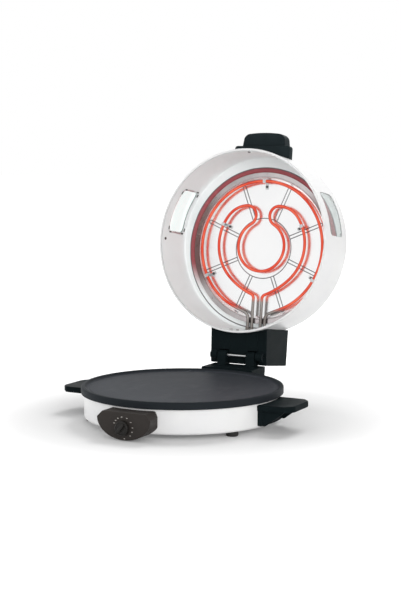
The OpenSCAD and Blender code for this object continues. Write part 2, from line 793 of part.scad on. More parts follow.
// Holes for the rivets that join the ring, the inner wall and the pan
module pan_rivet_holes() {
    translate([0, pan_shift, 0]) for (i = [0:7]) rotate([0, 0, 45 * i])
        translate([0, -pan_rivet_r, 0]) cylinder(d = 3.2, h = 130, $fn = 16);
}

// Polished ring round the mouth of the reflector pan, with a beaded inner lip
module reflector_ring() {
    top = liner_floor_d + 0.6;
    t = 0.9;
    color([0.9, 0.9, 0.92]) on_lid() difference() {
        translate([0, pan_shift, 0]) rotate_extrude($fn = 180) polygon([
            [ring_in_r, top - 1.2], [ring_in_r + 1.6, top - 1.2], [ring_in_r + 2.2, top],
            [ring_out_r, top], [ring_out_r, top + t], [ring_in_r, top + t]]);
        pan_rivet_holes();
    }
}

// Shallow round reflector behind the upper heating tubes, with eight pairs of ribs that
// run outwards from a round rib
module reflector_pan() {
    t = 0.5;
    flange_d = liner_floor_d + 2.3;
    flange_out = 168;
    lip = ring_in_r - 0.4;
    inner_rib_r = 66;
    outer_rib_r = 150;
    rib_h = 1.6;
    rib_w = 2.4;
    rib_spread = 3.6;
    color([0.86, 0.87, 0.89]) on_lid() difference() {
        translate([0, pan_shift, 0]) {
            rotate_extrude($fn = 180) polygon([[0, pan_floor_d], [pan_floor_r, pan_floor_d],
                [lip - t, flange_d], [flange_out, flange_d], [flange_out, flange_d + t],
                [lip, flange_d + t], [pan_floor_r + t, pan_floor_d + t],
                [0, pan_floor_d + t]]);
            rotate_extrude($fn = 120) translate([inner_rib_r, pan_floor_d - rib_h])
                square([rib_w, rib_h]);
            for (i = [0:7], side = [-1, 1]) rotate([0, 0, 45 * i + 22.5])
                translate([inner_rib_r + 1, side * rib_spread - rib_w / 2,
                    pan_floor_d - rib_h])
                    cube([outer_rib_r - inner_rib_r - 1, rib_w, rib_h]);
        }
        pan_rivet_holes();
        for (p = clip_places) at_clip(p) clip_screw_hole();
    }
}

// Eight rivets through the ring, the inner wall's step and the pan's flange
module pan_rivets() {
    color("silver") on_lid() translate([0, pan_shift, 0]) for (i = [0:7])
        rotate([0, 0, 45 * i]) translate([0, -pan_rivet_r, 0]) {
            translate([0, 0, liner_floor_d - 0.4]) cylinder(d = 5.5, h = 1, $fn = 24);
            translate([0, 0, liner_floor_d + 0.6]) cylinder(d = 3, h = 3.2, $fn = 16);
        }
}

// Where the outer heating tube leaves its ring, and the curve into its leg
ring_r = 147;
ring_cy = 6;
ring_leave = -68;
outer_bend_r = 16;
leave_x = ring_r * cos(ring_leave);
leave_y = ring_cy - ring_r * sin(ring_leave);

// Points along an arc, without the first one, so that arcs can follow each other
function polar(r, a) = [r * cos(a), r * sin(a)];
function next_arc(c, r, a0, a1, n) = [for (i = [1:n]) c + polar(r, a0 + (a1 - a0) * i / n)];
function mirrored(path) = [for (i = [len(path) - 1:-1:0]) [-path[i][0], path[i][1]]];

// A round tube along a flat path. The path is seen from the lid's mouth with the lid
// handle upwards, and the tube lies in the heating tubes' plane.
module flat_tube(path, r) {
    sides = 10;
    last = len(path) - 1;
    points = [for (k = [0:last], j = [0:sides - 1])
        let (along = path[min(k + 1, last)] - path[max(k - 1, 0)], t = along / norm(along),
            out = r * cos(360 * j / sides), p = path[k] + out * [-t[1], t[0]])
        [p[0], -p[1], heater_d + r * sin(360 * j / sides)]];
    function id(k, j) = k * sides + j % sides;
    walls = [for (k = [0:last - 1], j = [0:sides - 1], half = [0, 1]) half == 0
        ? [id(k, j), id(k + 1, j), id(k + 1, j + 1)]
        : [id(k, j), id(k + 1, j + 1), id(k, j + 1)]];
    caps = [[for (j = [0:sides - 1]) id(0, j)], [for (j = [sides - 1:-1:0]) id(last, j)]];
    polyhedron(points, concat(walls, caps));
}

// Outer heating tube: most of a ring, drawn in at the rear to two legs
module upper_outer_heater() {
    turn = -ring_leave;
    run = (leave_x - leg_out_x - outer_bend_r * (1 - cos(turn))) / sin(turn);
    leg_y = leave_y + run * cos(turn) + outer_bend_r * sin(turn);
    bend_c = [leg_out_x + outer_bend_r, -leg_y];
    half = concat([[leg_out_x, -leg_end], [leg_out_x, -leg_y]],
        next_arc(bend_c, outer_bend_r, 180, 180 - turn, 5));
    ring = concat([[leave_x, -leave_y]],
        next_arc([0, -ring_cy], ring_r, ring_leave, 180 + turn, 42));
    color([0.85, 0.35, 0.25]) on_lid() flat_tube(concat(half, ring, mirrored(half)), tube_r);
}

// Inner heating tube, one half of it as a chain of arcs that meet smoothly: the leg's
// bend, a long sweep, the shoulder, its top, the curl and the middle loop
sweep_r = 171;
shoulder_r = 105;
shoulder_a0 = -46;
shoulder_a1 = 35;
top_r = 60;
curl_r = 22;
loop_r = 56;
loop_cy = 4;
inner_bend_r = 10;
sweep_c = -polar(sweep_r - shoulder_r, shoulder_a0);
bend_c = [leg_in_x + inner_bend_r, sweep_c[1] - sqrt(pow(sweep_r + inner_bend_r, 2)
    - pow(leg_in_x + inner_bend_r - sweep_c[0], 2))];
sweep_a0 = atan2(bend_c[1] - sweep_c[1], bend_c[0] - sweep_c[0]);
top_c = polar(shoulder_r - top_r, shoulder_a1);

// The curl touches the top arc from inside and the middle loop from outside
loop_c = [0, -loop_cy];
span = norm(top_c - loop_c);
span_a = atan2(top_c[1] - loop_c[1], top_c[0] - loop_c[0]);
curl_off = acos((pow(span, 2) + pow(loop_r + curl_r, 2) - pow(top_r - curl_r, 2))
    / (2 * span * (loop_r + curl_r)));
curl_from_loop = span_a + curl_off;
curl_c = loop_c + polar(loop_r + curl_r, curl_from_loop);
top_a1 = atan2(curl_c[1] - top_c[1], curl_c[0] - top_c[0]);

module upper_inner_heater() {
    half = concat([[leg_in_x, -leg_end], [leg_in_x, bend_c[1]]],
        next_arc(bend_c, inner_bend_r, 180, 180 + sweep_a0, 4),
        next_arc(sweep_c, sweep_r, sweep_a0, shoulder_a0, 4),
        next_arc([0, 0], shoulder_r, shoulder_a0, shoulder_a1, 11),
        next_arc(top_c, top_r, shoulder_a1, top_a1, 6),
        next_arc(curl_c, curl_r, top_a1, curl_from_loop + 180, 10));
    loop = next_arc(loop_c, loop_r, curl_from_loop, -180 - curl_from_loop, 38);
    back = [for (i = [1:len(half) - 1]) mirrored(half)[i]];
    color([0.9, 0.4, 0.3]) on_lid() flat_tube(concat(half, loop, back), tube_r);
}

// Sheet clips that carry the heating tubes above the pan: [direction, tube radius,
// middle of the tube's arc], with the direction counted from +X to the lid handle
clip_places = [[90, ring_r, ring_cy], [24, shoulder_r, 0], [156, shoulder_r, 0],
    [-28, ring_r, ring_cy], [208, ring_r, ring_cy]];
clip_foot_l = 14;
clip_t = 0.8;
clip_inside = tube_r + 0.3;
clip_screw_x = -clip_inside - clip_foot_l / 2 - 1;

module at_clip(place) {
    translate([0, place[2], 0]) rotate([0, 0, -place[0]])
        translate([place[1], 0, 0]) children();
}

// A clearance hole for a clip's screw
module clip_screw_hole() {
    translate([clip_screw_x, 0, pan_floor_d - 5]) cylinder(d = 3.2, h = 10, $fn = 24);
}

module heater_clips() {
    w = 7;
    low = heater_d - tube_r - 1;
    color("silver") on_lid() for (p = clip_places) at_clip(p) difference() {
        union() {
            translate([-clip_inside - clip_t, -w / 2, low - clip_t])
                cube([clip_t, w, pan_floor_d - low - 0.2 + clip_t]);
            translate([-clip_inside - clip_t, -w / 2, low - clip_t])
                cube([2 * clip_inside + clip_t, w, clip_t]);
            translate([-clip_inside - clip_foot_l, -w / 2, pan_floor_d - 0.2 - clip_t])
                cube([clip_foot_l, w, clip_t]);
        }
        clip_screw_hole();
    }
}

// Screws through the feet of the clips
module clip_screws() {
    color("silver") on_lid() for (p = clip_places) at_clip(p)
        translate([clip_screw_x, 0, pan_floor_d - 0.2 - clip_t])
            screw(3, 4.6, 5.6, 1.8);
}

// Ceramic bushes where the heater legs pass through the lid's wall
module heater_bushes() {
    color([0.92, 0.9, 0.84]) on_lid()
        for (x = leg_places)
            translate([x, 0, heater_d]) rotate([-90, 0, 0]) difference() {
                translate([0, 0, 186]) cylinder(d = 8.6, h = 17, $fn = 32);
                translate([0, 0, 180]) cylinder(d = 2 * tube_r + 0.2, h = 40, $fn = 32);
            }
}

// Curved window pane between the drum and the inner wall
module window_glass(side) {
    color([0.8, 0.88, 0.9, 0.5]) on_lid() intersection() {
        difference() {
            cylinder(r = lid_r - sheet_t - gap, h = lid_depth - 5, $fn = 180);
            translate([0, 0, -1]) cylinder(r = liner_r + gap, h = lid_depth, $fn = 180);
        }
        window_prism(side, glass_lap);
        translate([-lid_r, -lid_r, 0]) cube([2 * lid_r, 2 * lid_r, liner_floor_d - liner_cove_r]);
    }
}

// Bright frame round a window, on the inner wall
module window_frame(side) {
    frame_w = 4;
    frame_t = 0.8;
    out_r = liner_r - 0.6 - gap;
    color([0.92, 0.93, 0.94]) on_lid() intersection() {
        difference() {
            cylinder(r = out_r, h = lid_depth - 10, $fn = 180);
            translate([0, 0, -1]) cylinder(r = out_r - frame_t, h = lid_depth, $fn = 180);
            window_prism(side, 0);
        }
        window_prism(side, frame_w);
    }
}

// Four screws that fix the inner wall to the drum near its mouth
module liner_screws() {
    color("silver") on_lid() for (a = liner_screw_angles)
        outward(a, liner_r - 0.6 - 0.1, liner_screw_d) screw(2.9, 3.2, 6, 1.8);
}

// Black handle at the front of the lid: a broad flange on the drum and a grip above it
module lid_handle() {
    flange_half = 67;
    flange_reach = 216;
    flange_corner = 6;
    flange_d0 = 80;
    flange_d1 = 97;
    grip_d0 = 86;
    grip_d1 = 117;
    grip_half = grip_w / 2;
    tip_half = grip_half - 6;
    corner = 16;
    bow_r = 300;
    bow = asin((tip_half - corner) / (bow_r - corner));
    corner_y = bow_r - grip_reach - (bow_r - corner) * cos(bow);
    color([0.1, 0.11, 0.12]) on_lid() difference() {
        union() {
            translate([0, 0, flange_d0]) linear_extrude(flange_d1 - flange_d0) {
                translate([-flange_half, -flange_reach + flange_corner])
                    square([2 * flange_half, 60]);
                translate([-flange_half + flange_corner, -flange_reach])
                    square([2 * (flange_half - flange_corner), 60]);
                for (side = [-1, 1])
                    translate([side * (flange_half - flange_corner), -flange_reach + flange_corner])
                        circle(r = flange_corner, $fn = 48);
            }
            translate([0, 0, grip_d0]) linear_extrude(grip_d1 - grip_d0)
                polygon(concat([[-grip_half, -190]],
                    arc(-tip_half + corner, corner_y, corner, 180, 270 - bow),
                    [for (i = [-2:2]) let (a = 270 + bow * i / 3)
                        [bow_r * cos(a), bow_r - grip_reach + bow_r * sin(a)]],
                    arc(tip_half - corner, corner_y, corner, 270 + bow, 360),
                    [[grip_half, -190]]));
        }
        translate([0, 0, 60]) cylinder(r = lid_r + gap, h = 70, $fn = 180);
        for (a = lid_handle_angles, z = lid_handle_depths) outward(a, lid_r - 4, z)
            cylinder(d = 3.2, h = 12, $fn = 24);
    }
}

// Screws from inside the drum into the lid handle
module lid_handle_screws() {
    color("silver") on_lid() for (a = lid_handle_angles, z = lid_handle_depths)
        outward(a, lid_r - sheet_t - 0.15, z) screw(3.2, 8, 7, 1.6);
}

// Black hollow block on the rear of the lid, with the upper hinge lugs below it and a
// hollow for the ends of the heating tubes
module hinge_block() {
    half = block_w / 2;
    wall = 4;
    floor_d = 45;
    notch_r = lug_r + 1.5;
    notch_w = base_lug_w + 2;
    boss = 15;
    outline = [[180, block_low_front - 1.5], [198, block_low_front],
        [block_back, block_low_back], [block_back, block_top - 3],
        [block_back - 3, block_top], [180, block_top]];
    color([0.09, 0.1, 0.11]) on_lid() difference() {
        union() {
            translate([-half, 0, 0]) rotate([90, 0, 90]) linear_extrude(block_w)
                polygon(outline);
            for (side = [-1, 1])
                translate([side * (block_lug_x + block_lug_w / 2) - block_lug_w / 2, 0, 0]) {
                    translate([0, hinge_y, hinge_d]) rod_x(lug_r, 0, block_lug_w);
                    translate([0, hinge_y - lug_r, hinge_d])
                        cube([block_lug_w, 2 * lug_r, 10]);
                }
        }
        difference() {
            translate([-half + wall, 150, floor_d])
                cube([block_w - 2 * wall, block_back - wall - 150, block_top - wall - floor_d]);
            for (side = [-1, 1]) translate([side * (half - wall - boss / 2) - boss / 2, 150,
                block_top - 28]) cube([boss, 62, 40]);
        }
        for (side = [-1, 1]) {
            translate([side * (base_lug_x + base_lug_w / 2) - notch_w / 2, 0, 0]) {
                translate([0, hinge_y, hinge_d]) rod_x(notch_r, 0, notch_w);
                translate([0, hinge_y - notch_r, 0]) cube([notch_w, 60, hinge_d]);
                translate([0, hinge_y, 0]) cube([notch_w, 60, hinge_d + notch_r + 4]);
            }
        }
        cylinder(r = lid_r + gap, h = block_top + 1, $fn = 180);
        translate([0, hinge_y, hinge_d]) rod_x(pin_d / 2, -half - 1, half + 1 + pin_end);
        for (a = block_screw_angles, z = block_screw_depths) outward(180 + a, lid_r - 4, z)
            cylinder(d = 3.2, h = 14, $fn = 24);
    }
}

// Screws from inside the drum into the hinge block
module hinge_block_screws() {
    color("silver") on_lid() for (a = block_screw_angles, z = block_screw_depths)
        outward(180 + a, lid_r - sheet_t - 0.15, z) screw(3.2, 8, 7, 1.6);
}

// Ceramic connector inside the hinge block, and the four pins that join it to the ends
// of the heating tubes
module lid_terminals() {
    block_y = leg_end + 9;
    color([0.9, 0.88, 0.82]) on_lid() difference() {
        translate([-30, block_y, heater_d - 7]) cube([60, 16, 14]);
        for (x = leg_places) translate([x, block_y - 1, heater_d]) rotate([-90, 0, 0])
            cylinder(d = 4, h = 30, $fn = 24);
    }
    color("silver") on_lid() for (x = leg_places)
        translate([x, leg_end + 0.1, heater_d]) rotate([-90, 0, 0])
            cylinder(d = 3, h = 20, $fn = 24);
}

// Steel pin of the lid hinge, with chamfered ends
module hinge_pin() {
    chamfer = 0.8;
    color("silver") on_lid() translate([0, hinge_y, hinge_d]) {
        rod_x(pin_d / 2, -pin_end + chamfer, 2 * pin_end - 2 * chamfer);
        for (side = [0, 1]) mirror([side, 0, 0]) translate([pin_end - chamfer, 0, 0])
            rotate([0, 90, 0]) cylinder(r1 = pin_d / 2, r2 = pin_d / 2 - chamfer,
                h = chamfer, $fn = 48);
    }
}

base_shell();
bottom_cover();
bottom_screws();
cooking_plate();
plate_studs();
stud_nuts();
reflector_spacers();
lower_heater();
heater_straps();
strap_nuts();
lower_reflector();
foot(-front_foot_angle);  // front_left_foot
foot(front_foot_angle);  // front_right_foot
foot(-rear_foot_angle);  // rear_left_foot
foot(rear_foot_angle);  // rear_right_foot
foot_screws();
left_side_handle();
right_side_handle();
side_handle_screws();
control_pod();
pod_screws();
thermostat();
thermostat_bulb();
thermostat_screws();
knob_spindle();
control_knob();
terminal_block();
base_leads();
cord_gland();
hinge_support();
hinge_support_screws();
lid_shell();
lid_liner();
reflector_ring();
reflector_pan();
pan_rivets();
upper_outer_heater();
upper_inner_heater();
heater_clips();
clip_screws();
heater_bushes();
window_glass(-1);  // left_window_glass
window_glass(1);  // right_window_glass
window_frame(-1);  // left_window_frame
window_frame(1);  // right_window_frame
liner_screws();
lid_handle();
lid_handle_screws();
hinge_block();
hinge_block_screws();
lid_terminals();
hinge_pin();
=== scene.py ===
import math

import bmesh
import bpy
from mathutils import Matrix, Vector


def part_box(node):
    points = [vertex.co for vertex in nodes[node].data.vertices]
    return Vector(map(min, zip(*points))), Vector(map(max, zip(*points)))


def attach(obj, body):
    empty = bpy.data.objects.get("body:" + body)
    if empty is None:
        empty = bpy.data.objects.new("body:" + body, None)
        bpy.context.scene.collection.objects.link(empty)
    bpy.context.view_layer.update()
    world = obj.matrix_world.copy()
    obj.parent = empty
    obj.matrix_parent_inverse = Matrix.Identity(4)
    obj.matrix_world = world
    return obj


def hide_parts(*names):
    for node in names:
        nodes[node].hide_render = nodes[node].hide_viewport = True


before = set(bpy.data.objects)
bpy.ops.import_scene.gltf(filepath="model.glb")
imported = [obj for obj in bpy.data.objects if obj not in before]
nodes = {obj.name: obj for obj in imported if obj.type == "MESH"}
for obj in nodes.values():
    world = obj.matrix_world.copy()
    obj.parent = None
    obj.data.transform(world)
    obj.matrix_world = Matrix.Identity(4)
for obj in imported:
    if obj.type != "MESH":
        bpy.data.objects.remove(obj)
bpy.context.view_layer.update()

# Electric roti maker. Shapes are drawn in millimetres, in the base's own frame (z from the
# table, the front at -y) or in the lid's own frame (z is the depth from the lid's mouth and
# the lid handle is at -y), and are then placed in the row frame in metres.

scene = bpy.context.scene

MM = 0.001
QUARTER = math.pi / 2

# Places of the two frames
plate_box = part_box("cooking_plate")
BASE_Y = (plate_box[0].y + plate_box[1].y) / 2 / MM
HINGE_Y, HINGE_Z = 248.5, 96.5
LID_Z = 73.5
LID_OPEN = math.radians(98)
base_place = Matrix.Scale(MM, 4) @ Matrix.Translation((0, BASE_Y, 0))
lid_place = (base_place @ Matrix.Translation((0, HINGE_Y, HINGE_Z))
             @ Matrix.Rotation(-LID_OPEN, 4, "X")
             @ Matrix.Translation((0, -HINGE_Y, LID_Z - HINGE_Z)))
upright = Matrix.Rotation(QUARTER, 4, "X")

# Driving sizes, as in the CAD source
BASE_R = 197
BASE_FLOOR = 9
BASE_TOP = 58.4
STUD_CIRCLE_R = 118
FOOT_CIRCLE_R = 181.5
GLAND_TURN = 212
PLATE_R = 203
RIM_TOP = 72.5
FACE_Z = 68
SHEET_T = 0.8
LID_R = 198
LID_DEPTH = 130
LINER_R = 194.5
LINER_FLOOR = 111
PAN_Y = 8
PAN_HOLE_R = 170.5
PAN_FLOOR = 120
HEATER_D = 107
TUBE_R = 3.25
WINDOW_TURN = math.radians(70)
WINDOW_MID = 61.5
WINDOW_W = 98
WINDOW_H = 67
BLOCK_HALF = 67
POD_FACE = 231
KNOB_Z = 25.5
KNOB_R = 14.5
OFF_ANGLE = math.radians(-42)
HANDLE_TOP = 55.5
GRIP_T = 12


# ---------------------------------------------------------------- camera

VIEW_AZIMUTH = math.radians(27.857)
VIEW_PITCH = math.radians(6.384)
VIEW_DISTANCE = 2.7
AIM_RIGHT = 0.036327
AIM_HEIGHT = 0.241331
FOCAL_PIXELS = 1354.754
PICTURE_HEIGHT = 601


def make_camera():
    """Long-lens camera a little above the plate, to the right of the front."""
    back = Vector((math.sin(VIEW_AZIMUTH) * math.cos(VIEW_PITCH),
                   -math.cos(VIEW_AZIMUTH) * math.cos(VIEW_PITCH), math.sin(VIEW_PITCH)))
    aim = Vector((AIM_RIGHT * math.cos(VIEW_AZIMUTH),
                  BASE_Y * MM + AIM_RIGHT * math.sin(VIEW_AZIMUTH), AIM_HEIGHT))
    data = bpy.data.cameras.new("camera")
    data.lens = FOCAL_PIXELS / PICTURE_HEIGHT * data.sensor_width
    data.clip_end = 60
    camera = bpy.data.objects.new("camera", data)
    camera.location = aim + back * VIEW_DISTANCE
    camera.rotation_euler = (-back).to_track_quat("-Z", "Y").to_euler()
    scene.collection.objects.link(camera)
    scene.camera = camera


# ---------------------------------------------------------------- shader building

class Tree:
    """Adds nodes to a material or a node group; an input is a value or a socket."""

    def __init__(self, tree):
        self.tree = tree

    def node(self, kind, inputs=None, **settings):
        made = self.tree.nodes.new(kind)
        for key, value in settings.items():
            setattr(made, key, value)
        for key, value in (inputs or {}).items():
            self.feed(made.inputs[key], value)
        return made

    def feed(self, socket, value):
        if isinstance(value, bpy.types.NodeSocket):
            self.tree.links.new(value, socket)
        else:
            socket.default_value = value

    def math(self, operation, a, b=0.0, clamp=False):
        return self.node("ShaderNodeMath", {0: a, 1: b}, operation=operation,
                         use_clamp=clamp).outputs[0]

    def times(self, a, b, clamp=False):
        return self.math("MULTIPLY", a, b, clamp)

    def plus(self, a, b, clamp=False):
        return self.math("ADD", a, b, clamp)

    def less(self, a, b):
        return self.math("SUBTRACT", a, b)

    def vector(self, operation, a, b=(0, 0, 0)):
        made = self.node("ShaderNodeVectorMath", {0: a, 1: b}, operation=operation)
        return made.outputs["Value" if operation in ("LENGTH", "DOT_PRODUCT") else "Vector"]

    def mix(self, share, a, b):
        """Colour between a and b."""
        made = self.node("ShaderNodeMix", data_type="RGBA")
        self.feed(made.inputs["Factor"], share)
        self.feed(made.inputs[6], a)
        self.feed(made.inputs[7], b)
        return made.outputs[2]

    def span(self, value, low, high, to_low=0.0, to_high=1.0, smooth=True):
        """Maps value from low..high to to_low..to_high and holds it there."""
        kind = "SMOOTHSTEP" if smooth else "LINEAR"
        return self.node("ShaderNodeMapRange", {
            "Value": value, "From Min": low, "From Max": high,
            "To Min": to_low, "To Max": to_high}, interpolation_type=kind).outputs[0]

    def axis(self, vector, number):
        return self.node("ShaderNodeSeparateXYZ", {0: vector}).outputs[number]

    def radius(self, vector):
        """Distance from the vertical axis."""
        return self.vector("LENGTH", self.vector("MULTIPLY", vector, (1.0, 1.0, 0.0)))

    def noise(self, vector, scale, detail=2.0, roughness=0.5):
        return self.node("ShaderNodeTexNoise", {
            "Vector": vector, "Scale": scale, "Detail": detail,
            "Roughness": roughness}).outputs["Fac"]


def colour(red, green, blue):
    return (red, green, blue, 1.0)


def make_group(name, inputs, outputs, build):
    """A shader node group whose inputs are name: default, with build(tree, inputs)."""
    group = bpy.data.node_groups.new(name, "ShaderNodeTree")
    for label, default in inputs.items():
        kind = "NodeSocketVector" if isinstance(default, tuple) else "NodeSocketFloat"
        socket = group.interface.new_socket(label, in_out="INPUT", socket_type=kind)
        if kind == "NodeSocketFloat":
            socket.default_value = default
    for label in outputs:
        group.interface.new_socket(label, in_out="OUTPUT", socket_type="NodeSocketFloat")
    tree = Tree(group)
    entry = tree.node("NodeGroupInput")
    leave = tree.node("NodeGroupOutput")
    made = build(tree, entry.outputs)
    for label, socket in zip(outputs, made):
        group.links.new(socket, leave.inputs[label])
    return group


def build_grain(tree, inputs):
    """Fine surface texture of a moulding or a coat, and slow patches over the piece."""
    fine = tree.noise(inputs["Vector"], inputs["Scale"], 3.0, 0.6)
    patches = tree.noise(inputs["Vector"], 14.0, 3.0, 0.55)
    return fine, patches


def build_edge_wear(tree, inputs):
    """Where a hard edge is rubbed, broken up so that it isn't one even line."""
    soft = tree.node("ShaderNodeBevel", {"Radius": inputs["Width"]}, samples=4)
    true = tree.node("ShaderNodeNewGeometry").outputs["Normal"]
    bend = tree.less(1.0, tree.vector("DOT_PRODUCT", soft.outputs[0], true))
    rubbed = tree.span(bend, 0.02, 0.25)
    broken = tree.span(tree.noise(inputs["Vector"], 90.0, 3.0, 0.6), 0.35, 0.65)
    return (tree.times(tree.times(rubbed, broken), inputs["Amount"], clamp=True),)


def build_turning(tree, inputs):
    """Fine rings left by spinning or turning about the vertical axis of the vector."""
    rings = tree.node("ShaderNodeCombineXYZ", {0: tree.radius(inputs["Vector"])}).outputs[0]
    fine = tree.noise(rings, inputs["Scale"], 4.0, 0.7)
    broad = tree.noise(rings, 60.0, 2.0, 0.5)
    return fine, broad


def build_smudges(tree, inputs):
    """Faint wiping marks and finger grease."""
    bent = tree.vector("MULTIPLY", inputs["Vector"], (1.0, 0.45, 1.3))
    wipe = tree.noise(bent, 38.0, 5.0, 0.62)
    spots = tree.noise(inputs["Vector"], 9.0, 2.0, 0.5)
    return (tree.times(tree.span(wipe, 0.45, 0.8), tree.span(spots, 0.35, 0.7), clamp=True),)


grain_group = make_group("surface_grain", {"Vector": (0, 0, 0), "Scale": 900.0},
                         ["Fine", "Patches"], build_grain)
wear_group = make_group("edge_wear", {"Vector": (0, 0, 0), "Width": 0.0008, "Amount": 0.5},
                        ["Mask"], build_edge_wear)
turning_group = make_group("turning_marks", {"Vector": (0, 0, 0), "Scale": 900.0},
                           ["Fine", "Broad"], build_turning)
smudge_group = make_group("smudges", {"Vector": (0, 0, 0)}, ["Mask"], build_smudges)


class Finish(Tree):
    """A material's tree, with the shared groups placed on its object coordinates."""

    def __init__(self, name):
        self.material = bpy.data.materials.new(name)
        self.material.use_nodes = True
        super().__init__(self.material.node_tree)
        self.tree.nodes.clear()
        self.place = self.node("ShaderNodeTexCoord").outputs["Object"]

    def group(self, group, **inputs):
        made = self.node("ShaderNodeGroup", node_tree=group)
        for key, value in inputs.items():
            self.feed(made.inputs[key], value)
        return made.outputs

    def grain(self, scale):
        return self.group(grain_group, Vector=self.place, Scale=scale)

    def rings(self, at, scale):
        return self.group(turning_group, Vector=at, Scale=scale)

    def wear(self, width, amount):
        return self.group(wear_group, Vector=self.place, Width=width, Amount=amount)[0]

    def marks(self):
        return self.group(smudge_group, Vector=self.place)[0]

    def drifting(self, grain, low, high):
        """Colour that wanders slowly from low to high over the piece."""
        return self.mix(self.span(grain["Patches"], 0.3, 0.7), colour(*low), colour(*high))

    def bump(self, height, distance):
        return self.node("ShaderNodeBump", {
            "Height": height, "Distance": distance, "Strength": 1.0}).outputs[0]

    def in_frame(self, origin, turn=0.0):
        """The point in the base's or the lid's own frame, in metres."""
        return self.node("ShaderNodeMapping", {
            "Vector": self.place, "Location": origin, "Rotation": (turn, 0, 0)},
            vector_type="TEXTURE").outputs[0]

    def in_lid(self, shift=0.0):
        """The lid's frame; shift moves its axis towards the hinge, in millimetres."""
        return self.in_frame(tuple(lid_place @ Vector((0, shift, 0))), -LID_OPEN)

    def finished(self, inputs):
        """Gives the material its Principled shader with these inputs."""
        shader = self.node("ShaderNodeBsdfPrincipled", inputs)
        self.node("ShaderNodeOutputMaterial", {"Surface": shader.outputs[0]})
        return self.material


# ---------------------------------------------------------------- materials

LIGHTER_PATCH = 1.35


def plastic(name, body, worn, roughness, grain_scale, grain_depth, gloss=0.5, wear=0.6):
    """Moulded plastic: fine grain, slow tone changes, lighter rubbed edges, smudges."""
    tree = Finish(name)
    grain = tree.grain(grain_scale)
    edge = tree.wear(0.0009, wear)
    marks = tree.marks()
    tone = tree.drifting(grain, body, [channel * LIGHTER_PATCH for channel in body])
    tone = tree.mix(edge, tone, colour(*worn))
    rough = tree.span(grain["Patches"], 0.3, 0.7, roughness - 0.05, roughness + 0.05)
    rough = tree.less(rough, tree.times(marks, 0.1))
    return tree.finished({
        "Base Color": tone, "Roughness": rough, "Specular IOR Level": gloss,
        "Normal": tree.bump(grain["Fine"], grain_depth)})


def enamel(name):
    """White stove enamel with a faint orange peel and a faint cream tint in slow patches."""
    tree = Finish(name)
    grain = tree.grain(420.0)
    marks = tree.marks()
    tone = tree.drifting(grain, (0.79, 0.79, 0.795), (0.82, 0.82, 0.815))
    rough = tree.plus(tree.times(marks, 0.06), 0.30)
    return tree.finished({
        "Base Color": tone, "Roughness": rough, "Specular IOR Level": 0.3,
        "Coat Roughness": 0.12, "Coat Weight": 0.12,
        "Normal": tree.bump(grain["Fine"], 0.00004)})


def coated_plate(name):
    """Dark non-stick coat over turned aluminium, with fine mica specks."""
    tree = Finish(name)
    at = tree.in_frame((0, BASE_Y * MM, 0))
    rings = tree.rings(at, 700.0)
    grain = tree.grain(1500.0)
    marks = tree.marks()
    edge = tree.wear(0.0007, 0.5)
    radius, height = tree.radius(at), tree.axis(at, 2)
    tone = tree.mix(tree.span(rings["Broad"], 0.3, 0.7),
                    colour(0.041, 0.045, 0.053), colour(0.046, 0.051, 0.059))
    speck = tree.span(tree.noise(tree.place, 2600.0, 1.0), 0.70, 0.78)
    tone = tree.mix(tree.times(speck, 0.5), tone, colour(0.11, 0.11, 0.12))
    rim = tree.times(tree.span(radius, 0.1900, 0.1945), tree.span(height, 0.0660, 0.0700))
    side = tree.span(radius, 0.1995, 0.2010)
    dark = tree.math("MAXIMUM", rim, side)
    tone = tree.mix(tree.times(dark, 0.75), tone, colour(0.008, 0.011, 0.013))
    tone = tree.mix(edge, tone, colour(0.07, 0.075, 0.08))
    rough = tree.plus(tree.times(rings["Fine"], 0.12), 0.46)
    rough = tree.less(rough, tree.times(marks, 0.08))
    ridges = tree.plus(tree.times(rings["Fine"], 0.6), tree.times(grain["Fine"], 0.4))
    return tree.finished({
        "Base Color": tone, "Roughness": rough, "Specular IOR Level": 0.05,
        "Normal": tree.bump(ridges, 0.00005)})


def sheet_metal(name, tone_a, tone_b, roughness, ring_scale, depth, shift=None, wear=0.4,
                painted_glow_tint=None):
    """Bright sheet: rolled or spun marks, slow tone changes and faint wiping. A sheet given a tint
    takes that colour at the lid's two sides, next to the glowing heaters: a painted reflection of
    their glow."""
    tree = Finish(name)
    at = tree.place if shift is None else tree.in_lid(shift)
    rings = tree.rings(at, ring_scale)
    grain = tree.grain(700.0)
    marks = tree.marks()
    edge = tree.wear(0.0005, wear)
    tone = tree.drifting(grain, tone_a, tone_b)
    if painted_glow_tint:
        # Painted reflection: the reddish tint at the two sides stands in for the heaters' glow
        # seen in the sheet.
        aside = tree.math("ABSOLUTE", tree.axis(at, 0))
        sides = tree.times(tree.span(aside, 0.10, 0.15),
                           tree.span(tree.axis(at, 1), 0.11, 0.05))
        tone = tree.mix(sides, tone, colour(*painted_glow_tint))
    tone = tree.mix(edge, tone, colour(0.93, 0.93, 0.93))
    rough = tree.plus(tree.times(rings["Fine"], 0.08), roughness - 0.04)
    rough = tree.plus(rough, tree.times(marks, 0.07))
    return tree.finished({
        "Base Color": tone, "Metallic": 1.0, "Roughness": rough,
        "Normal": tree.bump(rings["Fine"], depth)})


